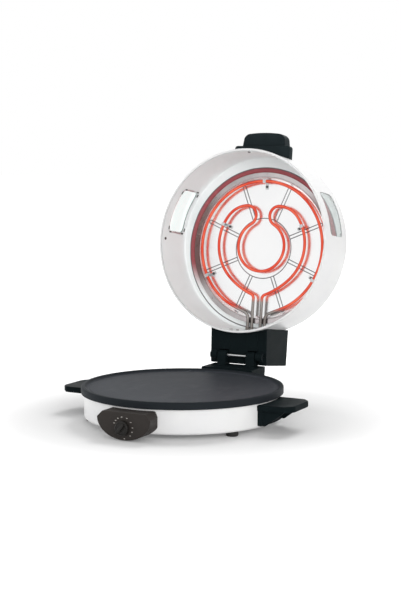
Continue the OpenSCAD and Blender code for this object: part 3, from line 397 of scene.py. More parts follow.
def inner_wall_sheet(name):
    """Satin inner wall of the lid, with painted light: a purple-red band next to the pan stands in
    for the glow of the heaters.
    """
    tree = Finish(name)
    at = tree.in_lid()
    grain = tree.grain(700.0)
    rings = tree.rings(at, 500.0)
    marks = tree.marks()
    waver = tree.times(tree.less(grain["Patches"], 0.5), 0.002)
    radius = tree.plus(tree.radius(tree.in_lid(PAN_Y)), waver)
    tone = tree.drifting(grain, (0.90, 0.935, 0.935), (0.93, 0.955, 0.955))
    # Painted light: a purple-red band next to the pan stands in for the heaters' glow falling on
    # the wall; it is also made a little glossier.
    painted_glow_band = tree.times(tree.span(radius, 0.1790, 0.1775), tree.span(tree.axis(at, 1), 0.12, 0.04))
    tone = tree.mix(painted_glow_band, tone, colour(0.36, 0.082, 0.092))
    seam = tree.times(tree.span(radius, 0.1805, 0.1793), tree.span(radius, 0.1770, 0.1782))
    tone = tree.mix(seam, tone, colour(0.10, 0.09, 0.10))
    rough = tree.less(0.46, tree.times(painted_glow_band, 0.2))
    rough = tree.plus(rough, tree.times(marks, 0.06))
    return tree.finished({
        "Base Color": tone, "Metallic": 0.05, "Roughness": rough,
        "Specular IOR Level": 0.3, "Normal": tree.bump(rings["Fine"], 0.00002)})


def glowing_sheath(name, cold_from=None):
    """Oxidised heater tube whose flanks are painted dark as the camera sees them (painted shade).
    A lit one glows red along its run, painted brighter in the middle and dimmer on the flanks as
    seen (painted highlight), and turns cold where its legs reach cold_from, in metres towards the
    hinge."""
    tree = Finish(name)
    grain = tree.grain(1100.0)
    facing = tree.node("ShaderNodeLayerWeight", {"Blend": 0.5}).outputs["Facing"]
    cold = tree.mix(tree.span(grain["Patches"], 0.35, 0.65),
                    colour(0.30, 0.27, 0.25), colour(0.46, 0.43, 0.41))
    # Painted shade: the flanks of the tube, as the camera sees them, are painted dark.
    cold = tree.mix(tree.span(facing, 0.12, 0.50), cold, colour(0.035, 0.028, 0.025))
    inputs = {"Base Color": cold, "Metallic": 0.7, "Roughness": 0.36,
              "Normal": tree.bump(grain["Fine"], 0.00005)}
    if cold_from:
        along = tree.axis(tree.in_lid(), 1)
        heat = tree.span(along, cold_from + 0.007, cold_from - 0.007)
        uneven = tree.span(tree.noise(tree.place, 22.0, 2.0), 0.3, 0.7)
        # Painted highlight: the glow is painted brighter where the tube faces the camera and
        # dimmer on its flanks.
        painted_bright_middle = tree.mix(uneven, colour(0.72, 0.065, 0.030), colour(0.88, 0.17, 0.085))
        painted_dim_flanks = tree.mix(uneven, colour(0.38, 0.005, 0.006), colour(0.50, 0.013, 0.012))
        glow = tree.mix(tree.span(facing, 0.08, 0.48), painted_bright_middle, painted_dim_flanks)
        # The glow is full for the eye and in mirrors, but only 6% of it falls on the walls as
        # light.
        on_walls = tree.node("ShaderNodeLightPath").outputs["Is Diffuse Ray"]
        glow = tree.mix(tree.times(on_walls, 0.94), glow, colour(0, 0, 0))
        inputs["Base Color"] = tree.mix(heat, cold, colour(0.12, 0.015, 0.012))
        inputs["Emission Color"] = tree.mix(heat, colour(0, 0, 0), glow)
        inputs["Emission Strength"] = 0.9
        inputs["Specular IOR Level"] = 0.15
        inputs["Metallic"] = 0.0
    return tree.finished(inputs)


def rubber(name):
    tree = Finish(name)
    grain = tree.grain(1300.0)
    tone = tree.mix(grain["Patches"], colour(0.014, 0.014, 0.014),
                    colour(0.032, 0.031, 0.030))
    return tree.finished({
        "Base Color": tone, "Specular IOR Level": 0.3,
        "Roughness": tree.span(grain["Fine"], 0.3, 0.7, 0.68, 0.85),
        "Normal": tree.bump(grain["Fine"], 0.0001)})


def steatite(name, low, high, specks):
    """Ceramic with dark specks and a dull glaze."""
    tree = Finish(name)
    grain = tree.grain(800.0)
    speck = tree.span(tree.noise(tree.place, 1500.0, 1.0), 0.68, 0.74)
    tone = tree.mix(grain["Patches"], colour(*low), colour(*high))
    tone = tree.mix(tree.times(speck, 0.5), tone, colour(*specks))
    return tree.finished({
        "Base Color": tone, "Roughness": 0.48,
        "Normal": tree.bump(grain["Fine"], 0.00008)})


def braided_sleeve(name):
    """White glass-fibre sleeve with a fine cross weave."""
    tree = Finish(name)
    ways = [tree.node("ShaderNodeTexWave", {
        "Vector": tree.place, "Scale": 420.0, "Distortion": 1.0},
        bands_direction=way).outputs["Fac"] for way in ("X", "Y", "Z")]
    weave = tree.times(tree.math("MAXIMUM", ways[0], ways[1]), ways[2])
    tone = tree.mix(weave, colour(0.52, 0.51, 0.47), colour(0.76, 0.75, 0.71))
    return tree.finished({
        "Base Color": tone, "Roughness": 0.8, "Normal": tree.bump(weave, 0.0001)})


def pane(name):
    """Clear tempered glass, faintly smudged."""
    tree = Finish(name)
    marks = tree.marks()
    return tree.finished({
        "Base Color": colour(0.82, 0.875, 0.86), "Transmission Weight": 1.0, "IOR": 1.45,
        "Roughness": tree.times(marks, 0.10)})


def printed_mark(name):
    tree = Finish(name)
    grain = tree.grain(2200.0)
    tone = tree.mix(tree.span(grain["Fine"], 0.35, 0.65),
                    colour(0.30, 0.28, 0.26), colour(0.42, 0.40, 0.37))
    return tree.finished({"Base Color": tone, "Roughness": 0.55})


white_enamel = enamel("white_enamel")
nonstick = coated_plate("nonstick_plate")
zinc = sheet_metal("zinc_plated_steel", (0.56, 0.57, 0.58), (0.66, 0.67, 0.67), 0.34,
                   1200.0, 0.00003)
liner_steel = inner_wall_sheet("aluminised_steel")
pan_steel = sheet_metal("bright_pan", (0.90, 0.905, 0.91), (0.93, 0.93, 0.93), 0.22,
                        500.0, 0.00001, shift=PAN_Y)
# Painted shade: the pan's ribs are pressed in the same bright sheet and are painted dark grey to
# stand in for the shade and dark reflections along their sides.
dark_painted_rib_steel = sheet_metal("pressed_ribs_painted_dark", (0.17, 0.18, 0.19), (0.27, 0.28, 0.29), 0.32,
                        900.0, 0.00002, shift=PAN_Y, wear=0.2)
# The pan ring carries a painted reflection of the heaters' glow on its two sides.
ring_steel = sheet_metal("ring_with_painted_glow", (0.50, 0.46, 0.465), (0.60, 0.56, 0.56), 0.22,
                         900.0, 0.00001, shift=PAN_Y, wear=0.0, painted_glow_tint=(0.21, 0.13, 0.125))
trim_steel = sheet_metal("polished_trim", (0.78, 0.79, 0.80), (0.85, 0.85, 0.86), 0.3,
                         900.0, 0.00001, shift=PAN_Y)
dark_steel = sheet_metal("blackened_tabs", (0.07, 0.07, 0.07), (0.13, 0.125, 0.12), 0.35,
                         900.0, 0.00002)
dish_steel = sheet_metal("lower_dish", (0.74, 0.75, 0.76), (0.82, 0.83, 0.83), 0.25,
                         700.0, 0.00002)
outer_sheath = glowing_sheath("glowing_outer_sheath", 0.143)
inner_sheath = glowing_sheath("glowing_inner_sheath", 0.124)
cold_sheath = glowing_sheath("cold_sheath")
black_rubber = rubber("black_rubber")
phenolic = plastic("black_phenolic", (0.0055, 0.0088, 0.0098), (0.03, 0.037, 0.039), 0.45,
                   1100.0, 0.00003, gloss=0.02)
# Painted light: a lighter copy of the black phenolic, used for the lid handle, stands in for the
# light the handle catches.
phenolic_lit_copy = plastic("phenolic_lit_copy", (0.013, 0.0185, 0.0205), (0.04, 0.047, 0.049), 0.42,
                        1100.0, 0.00003, gloss=0.03)
pod_plastic = plastic("dark_pod_plastic", (0.0235, 0.020, 0.018), (0.06, 0.055, 0.05), 0.55,
                      1500.0, 0.00006, gloss=0.2)
knob_plastic = plastic("knob_plastic", (0.011, 0.010, 0.009), (0.06, 0.055, 0.05), 0.40,
                       1500.0, 0.00004, gloss=0.25)
ceramic = steatite("ceramic", (0.66, 0.62, 0.53), (0.74, 0.70, 0.61), (0.35, 0.30, 0.24))
smoked_ceramic = steatite("smoked_ceramic", (0.16, 0.14, 0.125), (0.24, 0.21, 0.19),
                          (0.06, 0.05, 0.045))
copper = sheet_metal("copper_tube", (0.55, 0.27, 0.17), (0.66, 0.36, 0.24), 0.3,
                     900.0, 0.00002)
sleeve = braided_sleeve("lead_insulation")
glass = pane("window_glass")
dial_print = printed_mark("dial_print")

cad_finish = {
    zinc: ["bottom_cover", "bottom_screws", "plate_studs", "stud_nuts", "reflector_spacers",
           "heater_straps", "strap_nuts", "foot_screws", "side_handle_screws", "pod_screws",
           "thermostat_screws", "knob_spindle", "hinge_support_screws", "heater_clips",
           "lid_handle_screws", "hinge_block_screws", "hinge_pin"],
    ring_steel: ["pan_rivets"],
    dish_steel: ["lower_reflector"],
    cold_sheath: ["lower_heater"],
    ceramic: ["thermostat", "terminal_block", "lid_terminals"],
    smoked_ceramic: ["heater_bushes"],
    dark_steel: ["liner_screws", "clip_screws"],
    copper: ["thermostat_bulb"],
    sleeve: ["base_leads"],
}


# ---------------------------------------------------------------- shaping

def soften(corners, closed=True, steps=4):
    """Outline through corners (a, b) or (a, b, radius), rounded where a radius is given."""
    outline = []
    for i, corner in enumerate(corners):
        here = Vector(corner[:2])
        ends = not closed and i in (0, len(corners) - 1)
        if len(corner) < 3 or ends:
            outline.append(here)
            continue
        before = Vector(corners[i - 1][:2]) - here
        after = Vector(corners[(i + 1) % len(corners)][:2]) - here
        half = before.angle(after) / 2
        run = min(corner[2] / math.tan(half), before.length * 0.49, after.length * 0.49)
        radius = run * math.tan(half)
        middle = here + (before.normalized() + after.normalized()).normalized() \
            * (radius / math.sin(half))
        first = here + before.normalized() * run - middle
        last = here + after.normalized() * run - middle
        start = math.atan2(first.y, first.x)
        sweep = math.atan2(first.x * last.y - first.y * last.x, first.dot(last))
        for k in range(steps + 1):
            a = start + sweep * k / steps
            outline.append(middle + radius * Vector((math.cos(a), math.sin(a))))
    return outline


def arc(middle, radius, start, end, steps):
    """Points of an arc from start to end, in degrees."""
    turns = [math.radians(start + (end - start) * k / steps) for k in range(steps + 1)]
    return [Vector((middle[0] + radius * math.cos(a), middle[1] + radius * math.sin(a)))
            for a in turns]


def pointing_out(bm):
    bmesh.ops.recalc_face_normals(bm, faces=bm.faces)
    return bm


def closed_up(bm):
    bmesh.ops.remove_doubles(bm, verts=bm.verts, dist=0.0005)
    return pointing_out(bm)


def grown_ring(bm, edges):
    """Extrudes a ring of edges in place; gives its new points and edges."""
    made = bmesh.ops.extrude_edge_only(bm, edges=edges)["geom"]
    ring = [v for v in made if isinstance(v, bmesh.types.BMVert)]
    own = set(ring)
    return ring, [e for e in made if isinstance(e, bmesh.types.BMEdge)
                  and e.verts[0] in own and e.verts[1] in own]


def turned(outline, closed=True, steps=128):
    """Spins an (r, z) outline a full turn about the vertical axis."""
    bm = bmesh.new()
    verts = [bm.verts.new((r, 0, z)) for r, z in outline]
    following = verts[1:] + (verts[:1] if closed else [])
    edges = [bm.edges.new(pair) for pair in zip(verts, following)]
    bmesh.ops.spin(bm, geom=verts + edges, cent=(0, 0, 0), axis=(0, 0, 1),
                   angle=2 * math.pi, steps=steps, use_merge=True)
    return closed_up(bm)


def rounded_rims(bm, rims, width, segments=3):
    bmesh.ops.bevel(bm, geom=rims, offset=width, offset_type="OFFSET", segments=segments,
                    profile=0.5, affect="EDGES", material=-1, clamp_overlap=True)


def slab(outline, low, high, rim=0.0, segments=3):
    """Raises a flat (x, y) outline from low to high and rounds the rims of both ends."""
    bm = bmesh.new()
    foot = bm.faces.new([bm.verts.new((x, y, low)) for x, y in outline])
    raised = bmesh.ops.extrude_face_region(bm, geom=[foot])["geom"]
    bmesh.ops.translate(bm, vec=(0, 0, high - low),
                        verts=[v for v in raised if isinstance(v, bmesh.types.BMVert)])
    closed_up(bm)
    if rim:
        flat = [e for e in bm.edges if abs(e.verts[0].co.z - e.verts[1].co.z) < 1e-4
                and any(abs(f.normal.z) > 0.9 for f in e.link_faces)]
        rounded_rims(bm, flat, rim, segments)
    return bm


def swept(path, section, closed=False):
    """Carries a section of (across, up) points along a flat path in the XY plane."""
    bm = bmesh.new()
    last = len(path) - 1

    def placed(k):
        if closed:
            ahead, behind = path[(k + 1) % len(path)], path[k - 1]
        else:
            ahead, behind = path[min(k + 1, last)], path[max(k - 1, 0)]
        way = (ahead - behind).normalized()
        return Matrix(((-way.y, 0, way.x, path[k].x), (way.x, 0, way.y, path[k].y),
                       (0, 1, 0, 0), (0, 0, 0, 1)))

    ring = [bm.verts.new(placed(0) @ Vector((u, v, 0))) for u, v in section]
    edges = [bm.edges.new((ring[i - 1], ring[i])) for i in range(len(ring))]
    if not closed:
        bm.faces.new(ring)
    stops = list(range(1, len(path))) + ([0] if closed else [])
    behind = placed(0)
    for k in stops:
        ring, edges = grown_ring(bm, edges)
        bmesh.ops.transform(bm, matrix=placed(k) @ behind.inverted(), verts=ring)
        behind = placed(k)
    if not closed:
        bmesh.ops.edgeloop_fill(bm, edges=edges)
    return closed_up(bm)


def round_section(radius, sides=12):
    return [(radius * math.cos(2 * math.pi * k / sides),
             radius * math.sin(2 * math.pi * k / sides)) for k in range(sides)]


def wrapped(bm, radius, turn, pitch=4.0):
    """Cuts a flat part into strips and bends it round a drum: x along the wall, y up it
    and z outwards, with turn 0 at the front."""
    low = min(v.co.x for v in bm.verts)
    high = max(v.co.x for v in bm.verts)
    for k in range(1, int((high - low) / pitch) + 1):
        cut = low + (high - low) * k / (int((high - low) / pitch) + 1)
        bmesh.ops.bisect_plane(bm, geom=bm.verts[:] + bm.edges[:] + bm.faces[:],
                               plane_co=(cut, 0, 0), plane_no=(1, 0, 0))
    for v in bm.verts:
        around = turn + v.co.x / radius
        reach = radius + v.co.z
        v.co = (reach * math.sin(around), -reach * math.cos(around), v.co.y)
    return pointing_out(bm)


def shade_evenly(made):
    even = made.modifiers.new("even_shading", "WEIGHTED_NORMAL")
    even.keep_sharp = True


def piece(name, body, material, parts, replaced=(), sharp=32):
    """Joins closed parts, drawn in the frame of the lid or the base, into one piece, puts
    it in its place and lets it ride on its body."""
    bm = bmesh.new()
    for part in parts:
        own, at = part if isinstance(part, tuple) else (part, Matrix())
        own.transform(at)
        store = bpy.data.meshes.new("part")
        own.to_mesh(store)
        own.free()
        bm.from_mesh(store)
        bpy.data.meshes.remove(store)
    mesh = bpy.data.meshes.new(name)
    bm.to_mesh(mesh)
    bm.free()
    mesh.transform(lid_place if body == "lid" else base_place)
    mesh.materials.append(material)
    for polygon in mesh.polygons:
        polygon.use_smooth = True
    mesh.set_sharp_from_angle(angle=math.radians(sharp))
    made = bpy.data.objects.new(name, mesh)
    scene.collection.objects.link(made)
    shade_evenly(made)
    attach(made, body)
    if replaced:
        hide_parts(*replaced)
    return made


def around(angle, distance):
    """Place at an angle round the base, 0 at the front, turned to face outwards."""
    return (Matrix.Rotation(math.radians(angle), 4, "Z")
            @ Matrix.Translation((0, -distance, 0)))


def mirrored_x(points):
    return [Vector((-p[0], p[1])) for p in reversed(points)]


# ---------------------------------------------------------------- base

def make_base_shell():
    floor_hole_r, top_hole_r = 165, 186
    inside_r, inside_top = BASE_R - SHEET_T, BASE_TOP - SHEET_T
    inside_floor = BASE_FLOOR + SHEET_T
    wall = soften([(floor_hole_r, BASE_FLOOR, 0.2), (BASE_R, BASE_FLOOR, 6),
                   (BASE_R, BASE_TOP, 1.1), (top_hole_r, BASE_TOP, 0.3),
                   (top_hole_r, inside_top, 0.3), (inside_r, inside_top, 0.4),
                   (inside_r, inside_floor, 5.2), (floor_hole_r, inside_floor, 0.2)], steps=6)
    piece("base_wall", "base", white_enamel, [turned(wall, steps=160)],
          ["base_shell"])


def make_plate():
    section = soften([(0, 61), (180, 61, 0.4), (180, 54.4, 0.6), (184.5, 54.4, 0.8),
                      (184.5, BASE_TOP, 0.4), (PLATE_R, BASE_TOP, 1.0),
                      (PLATE_R, RIM_TOP, 3.0), (195.4, RIM_TOP, 1.8), (191, 67.2, 1.0),
                      (187, 67.2, 0.8), (185.2, FACE_Z, 0.8), (0, FACE_Z)],
                     closed=False, steps=5)
    boss = soften([(0, 57), (7, 57, 0.8), (7, 61.5), (0, 61.5)], closed=False)
    parts = [turned(section, closed=False, steps=160)]
    parts += [(turned(boss, closed=False, steps=32), around(90 * i + 45, STUD_CIRCLE_R))
              for i in range(4)]
    piece("hot_plate", "base", nonstick, parts, ["cooking_plate"])


def make_feet():
    section = soften([(2.2, 4.2, 0.2), (5.5, 4.2, 0.3), (5.5, 0, 0.6), (8, 0, 0.3),
                      (8.4, 0.7, 0.3), (9.2, 0.7, 0.3), (9.6, 0, 0.3), (10.9, 0, 0.8),
                      (11.9, 3.0, 1.0), (12, 8.9, 0.8), (2.2, 8.9, 0.2)], steps=3)
    for name, angle in (("front_left_foot", -60), ("front_right_foot", 60),
                        ("rear_left_foot", -151), ("rear_right_foot", 151)):
        piece("moulded_" + name, "base", black_rubber,
              [(turned(section, steps=48), around(angle, FOOT_CIRCLE_R))], [name])


def wall_arc(radius, half, steps):
    """Points of the wall's circle at +x, from y = -half to y = half."""
    reach = math.degrees(math.asin(half / radius))
    return arc((0, 0), radius, -reach, reach, steps)


def make_side_handles():
    touch, collar_r = BASE_R + 0.25, 205
    grip = wall_arc(touch, 51.5, 14) + [
        (247, 50.5, 12), (258.5, 37, 7), (261, 30, 6), (261, -30, 6), (258.5, -37, 7),
        (247, -50.5, 12)]
    collar = wall_arc(touch, 50, 14) + [(198.9, 50, 3)] \
        + list(reversed(wall_arc(collar_r, 44, 12))) + [(198.9, -50, 3)]
    bracket = [(199, 53, 0.5), (199, 14.2, 0.5), (collar_r, 14.2, 2), (246, 44.5, 2),
               (244, 53, 0.5)]
    for side, name, turn in ((1, "right_side_handle", 0), (-1, "left_side_handle", math.pi)):
        faces_out = Matrix.Rotation(turn, 4, "Z")
        parts = [(slab(soften(grip), HANDLE_TOP - GRIP_T, HANDLE_TOP, 2.4, 4), faces_out),
                 (slab(soften(collar), 14, HANDLE_TOP - 0.6, 1.8), faces_out)]
        if side > 0:
            parts += [(slab(soften(bracket), y - 2.5, y + 2.5, 1.0), upright)
                      for y in (-44.5, 44.5)]
        piece("moulded_" + name, "base", phenolic, parts, [name])


def make_pod():
    """Hollow housing: its face is drawn flat and its walls run back to the round base."""
    half, corner_z, low = 58, 43, 1.5
    bowl = [(half * math.cos(a), corner_z + (corner_z - low) * math.sin(a))
            for a in (math.radians(180 + 180 * k / 40) for k in range(1, 40))]
    rim = soften([(-half, corner_z, 3)] + bowl + [(half, corner_z, 3), (46, 54.5, 4),
                                                  (-46, 54.5, 4)])
    bm = bmesh.new()
    face = bm.faces.new([bm.verts.new((x, -POD_FACE, z)) for x, z in rim])
    for v in grown_ring(bm, face.edges)[0]:
        v.co.x = max(-51.0, min(51.0, v.co.x))
        v.co.y = -math.sqrt(197.3 ** 2 - v.co.x ** 2)
    closed_up(bm)
    if face.normal.y > 0:
        bmesh.ops.reverse_faces(bm, faces=bm.faces)
    rounded_rims(bm, list(face.edges), 2.2, 4)
    bmesh.ops.solidify(bm, geom=bm.faces[:], thickness=2.4)
    piece("pod_housing", "base", pod_plastic, [pointing_out(bm)],
          ["control_pod"])


def make_dial_marks():
    """Ten small plain marks printed round the knob."""
    pad = soften([(-1.7, -0.8, 0.6), (1.7, -0.8, 0.6), (1.7, 0.8, 0.6), (-1.7, 0.8, 0.6)])
    dial_r = 20.5
    parts = []
    for angle in (158, 141, 122, 98, 66, 36, 5, -18, -42, -82):
        a = math.radians(angle)
        at = Matrix.Translation((dial_r * math.cos(a), -POD_FACE + 0.05,
                                 KNOB_Z + dial_r * math.sin(a)))
        parts.append((slab(pad, 0, 0.25, 0.08, 1), at @ upright))
    piece("dial_marks", "base", dial_print, parts)


def make_knob():
    """Round knob with a fluted skirt and a lens-shaped grip across its face."""
    skirt = soften([(0, 231.6), (13.2, 231.6, 0.3), (KNOB_R, 232.2, 0.5), (14.1, 238.4, 1.8),
                    (11.6, 240.0, 0.8), (10.6, 239.2, 0.6), (0, 239.2)], closed=False)
    body = turned(skirt, closed=False, steps=96)
    for v in body.verts:
        reach = math.hypot(v.co.x, v.co.y)
        if reach > 13.9:
            flute = 1 - 0.018 * (0.5 + 0.5 * math.cos(32 * math.atan2(v.co.y, v.co.x)))
            v.co.x *= flute
            v.co.y *= flute
    half_length, half_width = 12.6, 4.0
    lens = []
    for k in range(24):
        a = 2 * math.pi * k / 24
        taper = 0.72 + 0.28 * abs(math.sin(a))
        lens.append((half_width * taper * math.cos(a), half_length * math.sin(a)))
    grip = slab(lens, 238.6, 246, 1.5, 4)
    ridge = slab(soften([(-0.5, -11.4, 0.4), (0.5, -11.4, 0.4), (0.5, -5.5, 0.4),
                         (-0.5, -5.5, 0.4)]), 245.6, 246, 0.15, 1)
    at = Matrix.Translation((0, 0, KNOB_Z)) @ upright
    turned_off = at @ Matrix.Rotation(OFF_ANGLE, 4, "Z")
    piece("dial_knob", "knob", knob_plastic,
          [(body, at), (grip, turned_off), (ridge, turned_off)], ["control_knob"])


def stepped_block(profile, low, high, steps=16, rim=0.0, front=0.0):
    """Extrudes a (y, z) profile from x = low to high in steps and rounds the rims of its
    ends, except where they lie before y = front."""
    bm = bmesh.new()
    xs = [low + (high - low) * k / steps for k in range(steps + 1)]
    ring = [bm.verts.new((xs[0], y, z)) for y, z in profile]
    edges = [bm.edges.new((ring[i - 1], ring[i])) for i in range(len(ring))]
    bm.faces.new(ring)
    for k in range(1, steps + 1):
        ring, edges = grown_ring(bm, edges)
        bmesh.ops.translate(bm, vec=(xs[k] - xs[k - 1], 0, 0), verts=ring)
    bmesh.ops.edgeloop_fill(bm, edges=edges)
    closed_up(bm)
    if rim:
        ends = [e for e in bm.edges if e.is_manifold
                and abs(e.verts[0].co.x - e.verts[1].co.x) < 1e-4
                and any(abs(f.normal.x) > 0.9 for f in e.link_faces)
                and not all(v.co.y < front for v in e.verts)]
        rounded_rims(bm, ends, rim)
    return bm


def against_wall(bm, front, wall_r):
    """Lays the points before y = front on the circle of the round wall there."""
    for v in bm.verts:
        if v.co.y < front:
            v.co.y = math.sqrt(wall_r ** 2 - v.co.x ** 2)
    return bm


def lug(low, high, y, z, radius, foot_half, foot_z):
    """A hinge lug: a round end about the pin on a wider foot, from x = low to high."""
    top = foot_z > z
    if top:
        rest = [(y - foot_half, foot_z), (y - radius, z)]
        outline = rest + [tuple(p) for p in arc((y, z), radius, 180, 360, 16)[1:]] \
            + [(y + foot_half, foot_z)]
    else:
        outline = [(y + foot_half, foot_z)] \
            + [tuple(p) for p in arc((y, z), radius, 0, 180, 16)] \
            + [(y - foot_half, foot_z)]
    across = Matrix(((0, 0, 1, 0), (1, 0, 0, 0), (0, 1, 0, 0), (0, 0, 0, 1)))
    return slab(outline, low, high, 1.2), across


def make_hinge_support():
    top = HINGE_Z - 20.5
    lower = soften([(190, 20.2), (190, 57.5), (261.5, 57.5, 0.5), (252, 48, 12),
                    (203, 20.2, 4)])
    upper = soften([(200, 57.6), (200, top), (262, top, 2.5), (262, 66, 4),
                    (260, 57.6, 0.5)])
    body = against_wall(stepped_block(lower, -60, 60, rim=2.0, front=191), 191, BASE_R + 0.4)
    head = against_wall(stepped_block(upper, -60, 60, rim=2.0, front=201), 201, PLATE_R + 2)
    lugs = [lug(low, low + 20, HINGE_Y, HINGE_Z, 10, 12, top - 2) for low in (24, -44)]
    piece("rear_bracket", "base", phenolic, [body, head] + lugs,
          ["hinge_support"])


def make_gland():
    section = soften([(3.75, -6), (6.9, -6, 0.4), (6.9, 0.4), (11, 0.4, 0.4), (11, 5, 1.4),
                      (8.6, 5.6, 0.4), (8.2, 7.4, 0.3), (7.4, 7.8, 0.3), (7.9, 8.6, 0.3),
                      (7.6, 10.2, 0.3), (6.8, 10.6, 0.3), (7.2, 11.4, 0.3), (6.5, 14, 0.8),
                      (3.75, 14, 0.5)], steps=3)
    out = (Matrix.Rotation(math.radians(GLAND_TURN), 4, "Z") @ Matrix.Translation((0, -BASE_R, 32))
           @ upright)
    piece("cable_gland", "base", black_rubber,
          [(turned(section, steps=48), out)], ["cord_gland"])


# ---------------------------------------------------------------- lid

def window_outline(grow):
    half_w, half_h = WINDOW_W / 2 + grow, WINDOW_H / 2 + grow
    radius = 12 + grow / 2
    return soften([(-half_w, -half_h, radius), (half_w, -half_h, radius),
                   (half_w, half_h, radius), (-half_w, half_h, radius)], steps=8)


def window_prism(side):
    """A straight prism through the drum's wall, as the CAD cuts its windows."""
    bm = slab(window_outline(0), -250, -150)
    mesh = bpy.data.meshes.new("cutter")
    bm.to_mesh(mesh)
    bm.free()
    mesh.transform(lid_place @ Matrix.Rotation(side * WINDOW_TURN, 4, "Z")
                   @ Matrix.Translation((0, 0, WINDOW_MID))
                   @ Matrix.Rotation(-QUARTER, 4, "X"))
    prism = bpy.data.objects.new("cutter", mesh)
    scene.collection.objects.link(prism)
    return prism


def cut_windows(made):
    """Cuts both window openings out of a finished piece's mesh."""
    made.modifiers.clear()
    prisms = [window_prism(side) for side in (-1, 1)]
    for prism in prisms:
        cut = made.modifiers.new("opening", "BOOLEAN")
        cut.operation = "DIFFERENCE"
        cut.solver = "EXACT"
        cut.object = prism
    done = made.evaluated_get(bpy.context.evaluated_depsgraph_get())
    mesh = bpy.data.meshes.new_from_object(done)
    mesh.name = made.name
    made.modifiers.clear()
    made.data = mesh
    shade_evenly(made)
    for prism in prisms:
        bpy.data.objects.remove(prism)


def make_lid_shell():
    panel = LID_DEPTH - 2
    drum = soften([(194.6, 0.2, 0.4), (199.2, 0, 1.6), (199.2, 5.2, 0.8), (LID_R, 6.4, 0.8),
                   (LID_R, LID_DEPTH, 12), (160, LID_DEPTH, 1.5), (156.5, panel, 1.5),
                   (0, panel)], closed=False, steps=8)
    inside = soften([(0, panel - SHEET_T), (156.7, panel - SHEET_T, 1.5),
                     (160.2, LID_DEPTH - SHEET_T, 1.5),
                     (LID_R - SHEET_T, LID_DEPTH - SHEET_T, 11.2), (LID_R - SHEET_T, 1.2),
                     (194.6, 1.2, 0.3)], closed=False, steps=8)
    shell = turned(drum + inside + [drum[0]], closed=False, steps=160)
    cut_windows(piece("lid_drum", "lid", white_enamel, [shell], ["lid_shell"]))


def make_liner():
    """Inner wall turned in to a floor whose round opening sits off centre."""
    bm = bmesh.new()
    wall = soften([(LINER_R - 0.3, 1.7), (LINER_R - 0.3, LINER_FLOOR - 0.3, 6),
                   (186, LINER_FLOOR - 0.3)], closed=False, steps=6)
    verts = [bm.verts.new((r, 0, z)) for r, z in wall]
    edges = [bm.edges.new(pair) for pair in zip(verts, verts[1:])]
    bmesh.ops.spin(bm, geom=verts + edges, cent=(0, 0, 0), axis=(0, 0, 1),
                   angle=2 * math.pi, steps=160, use_merge=True)
    bmesh.ops.remove_doubles(bm, verts=bm.verts, dist=0.001)
    inner = [e for e in bm.edges if e.is_boundary and e.verts[0].co.z > 50]
    for radius, depth in ((PAN_HOLE_R + 0.6, LINER_FLOOR - 0.3),
                          (PAN_HOLE_R, LINER_FLOOR + 0.3),
                          (PAN_HOLE_R, LINER_FLOOR + 1.3),
                          (PAN_HOLE_R - 0.6, LINER_FLOOR + 1.9),
                          (PAN_HOLE_R - 9, LINER_FLOOR + 1.9)):
        ring, inner = grown_ring(bm, inner)
        for v in ring:
            middle = Vector((0, 0 if math.hypot(v.co.x, v.co.y) > 185.9 else PAN_Y))
            a = math.atan2(v.co.y - middle.y, v.co.x)
            v.co = (radius * math.cos(a), PAN_Y + radius * math.sin(a), depth)
    bmesh.ops.solidify(pointing_out(bm), geom=bm.faces[:], thickness=0.5)
    cut_windows(piece("inner_wall", "lid", liner_steel,
                      [pointing_out(bm)], ["lid_liner"]))


def make_reflector():
    under, over_d = LINER_FLOOR + 0.6, LINER_FLOOR + 1.5
    bead = soften([(157, under - 1.2, 0.7), (158.7, under - 1.2, 0.7), (159.4, under, 0.4),
                   (169, under, 0.4), (169, over_d, 0.4), (157, over_d, 0.4)])
    over = Matrix.Translation((0, PAN_Y, 0))
    piece("pan_ring", "lid", ring_steel, [(turned(bead, steps=160), over)],
          ["reflector_ring"])
    rest = LINER_FLOOR + 2.3
    dish = soften([(0, PAN_FLOOR), (153, PAN_FLOOR, 1.6), (156.2, rest, 0.8),
                   (168, rest, 0.2), (168, rest + 0.5, 0.2), (156.6, rest + 0.5, 0.8),
                   (153.5, PAN_FLOOR + 0.5, 2.0), (0, PAN_FLOOR + 0.5)], closed=False)
    piece("pan_dish", "lid", pan_steel,
          [(turned(dish, closed=False, steps=160), over)], ["reflector_pan"])
    ring_r, spread, bead_r, end = 67.2, 3.6, 1.05, 146.5
    raised = Matrix.Translation((0, PAN_Y, PAN_FLOOR))
    parts = [(swept(arc((0, 0), ring_r, 0, 354, 60), round_section(bead_r, 10), closed=True),
              raised)]
    hairpin = [Vector((ring_r, -spread))] + arc((end, 0), spread, -90, 90, 10) \
        + [Vector((ring_r, spread))]
    for i in range(8):
        turn = Matrix.Rotation(math.radians(45 * i + 22.5), 4, "Z")
        parts.append((swept(hairpin, round_section(bead_r, 10)), raised @ turn))
    piece("pan_ribs", "lid", dark_painted_rib_steel, parts)


# Upper heating tubes: (x, up) seen from the lid's mouth with the lid handle upwards
LEG_IN_X, LEG_OUT_X, LEG_END = 10.5, 20.5, 207
RING_R, RING_Y, RING_LEAVE, OUTER_BEND_R = 147, 6, -68, 16
SWEEP_R, SHOULDER_R, SHOULDER_A0, SHOULDER_A1 = 171, 105, -46, 35
TOP_R, CURL_R, LOOP_R, LOOP_Y, INNER_BEND_R = 60, 22, 56, 4, 10


def polar(radius, angle):
    return radius * Vector((math.cos(math.radians(angle)), math.sin(math.radians(angle))))


def heading(vector):
    return math.degrees(math.atan2(vector.y, vector.x))


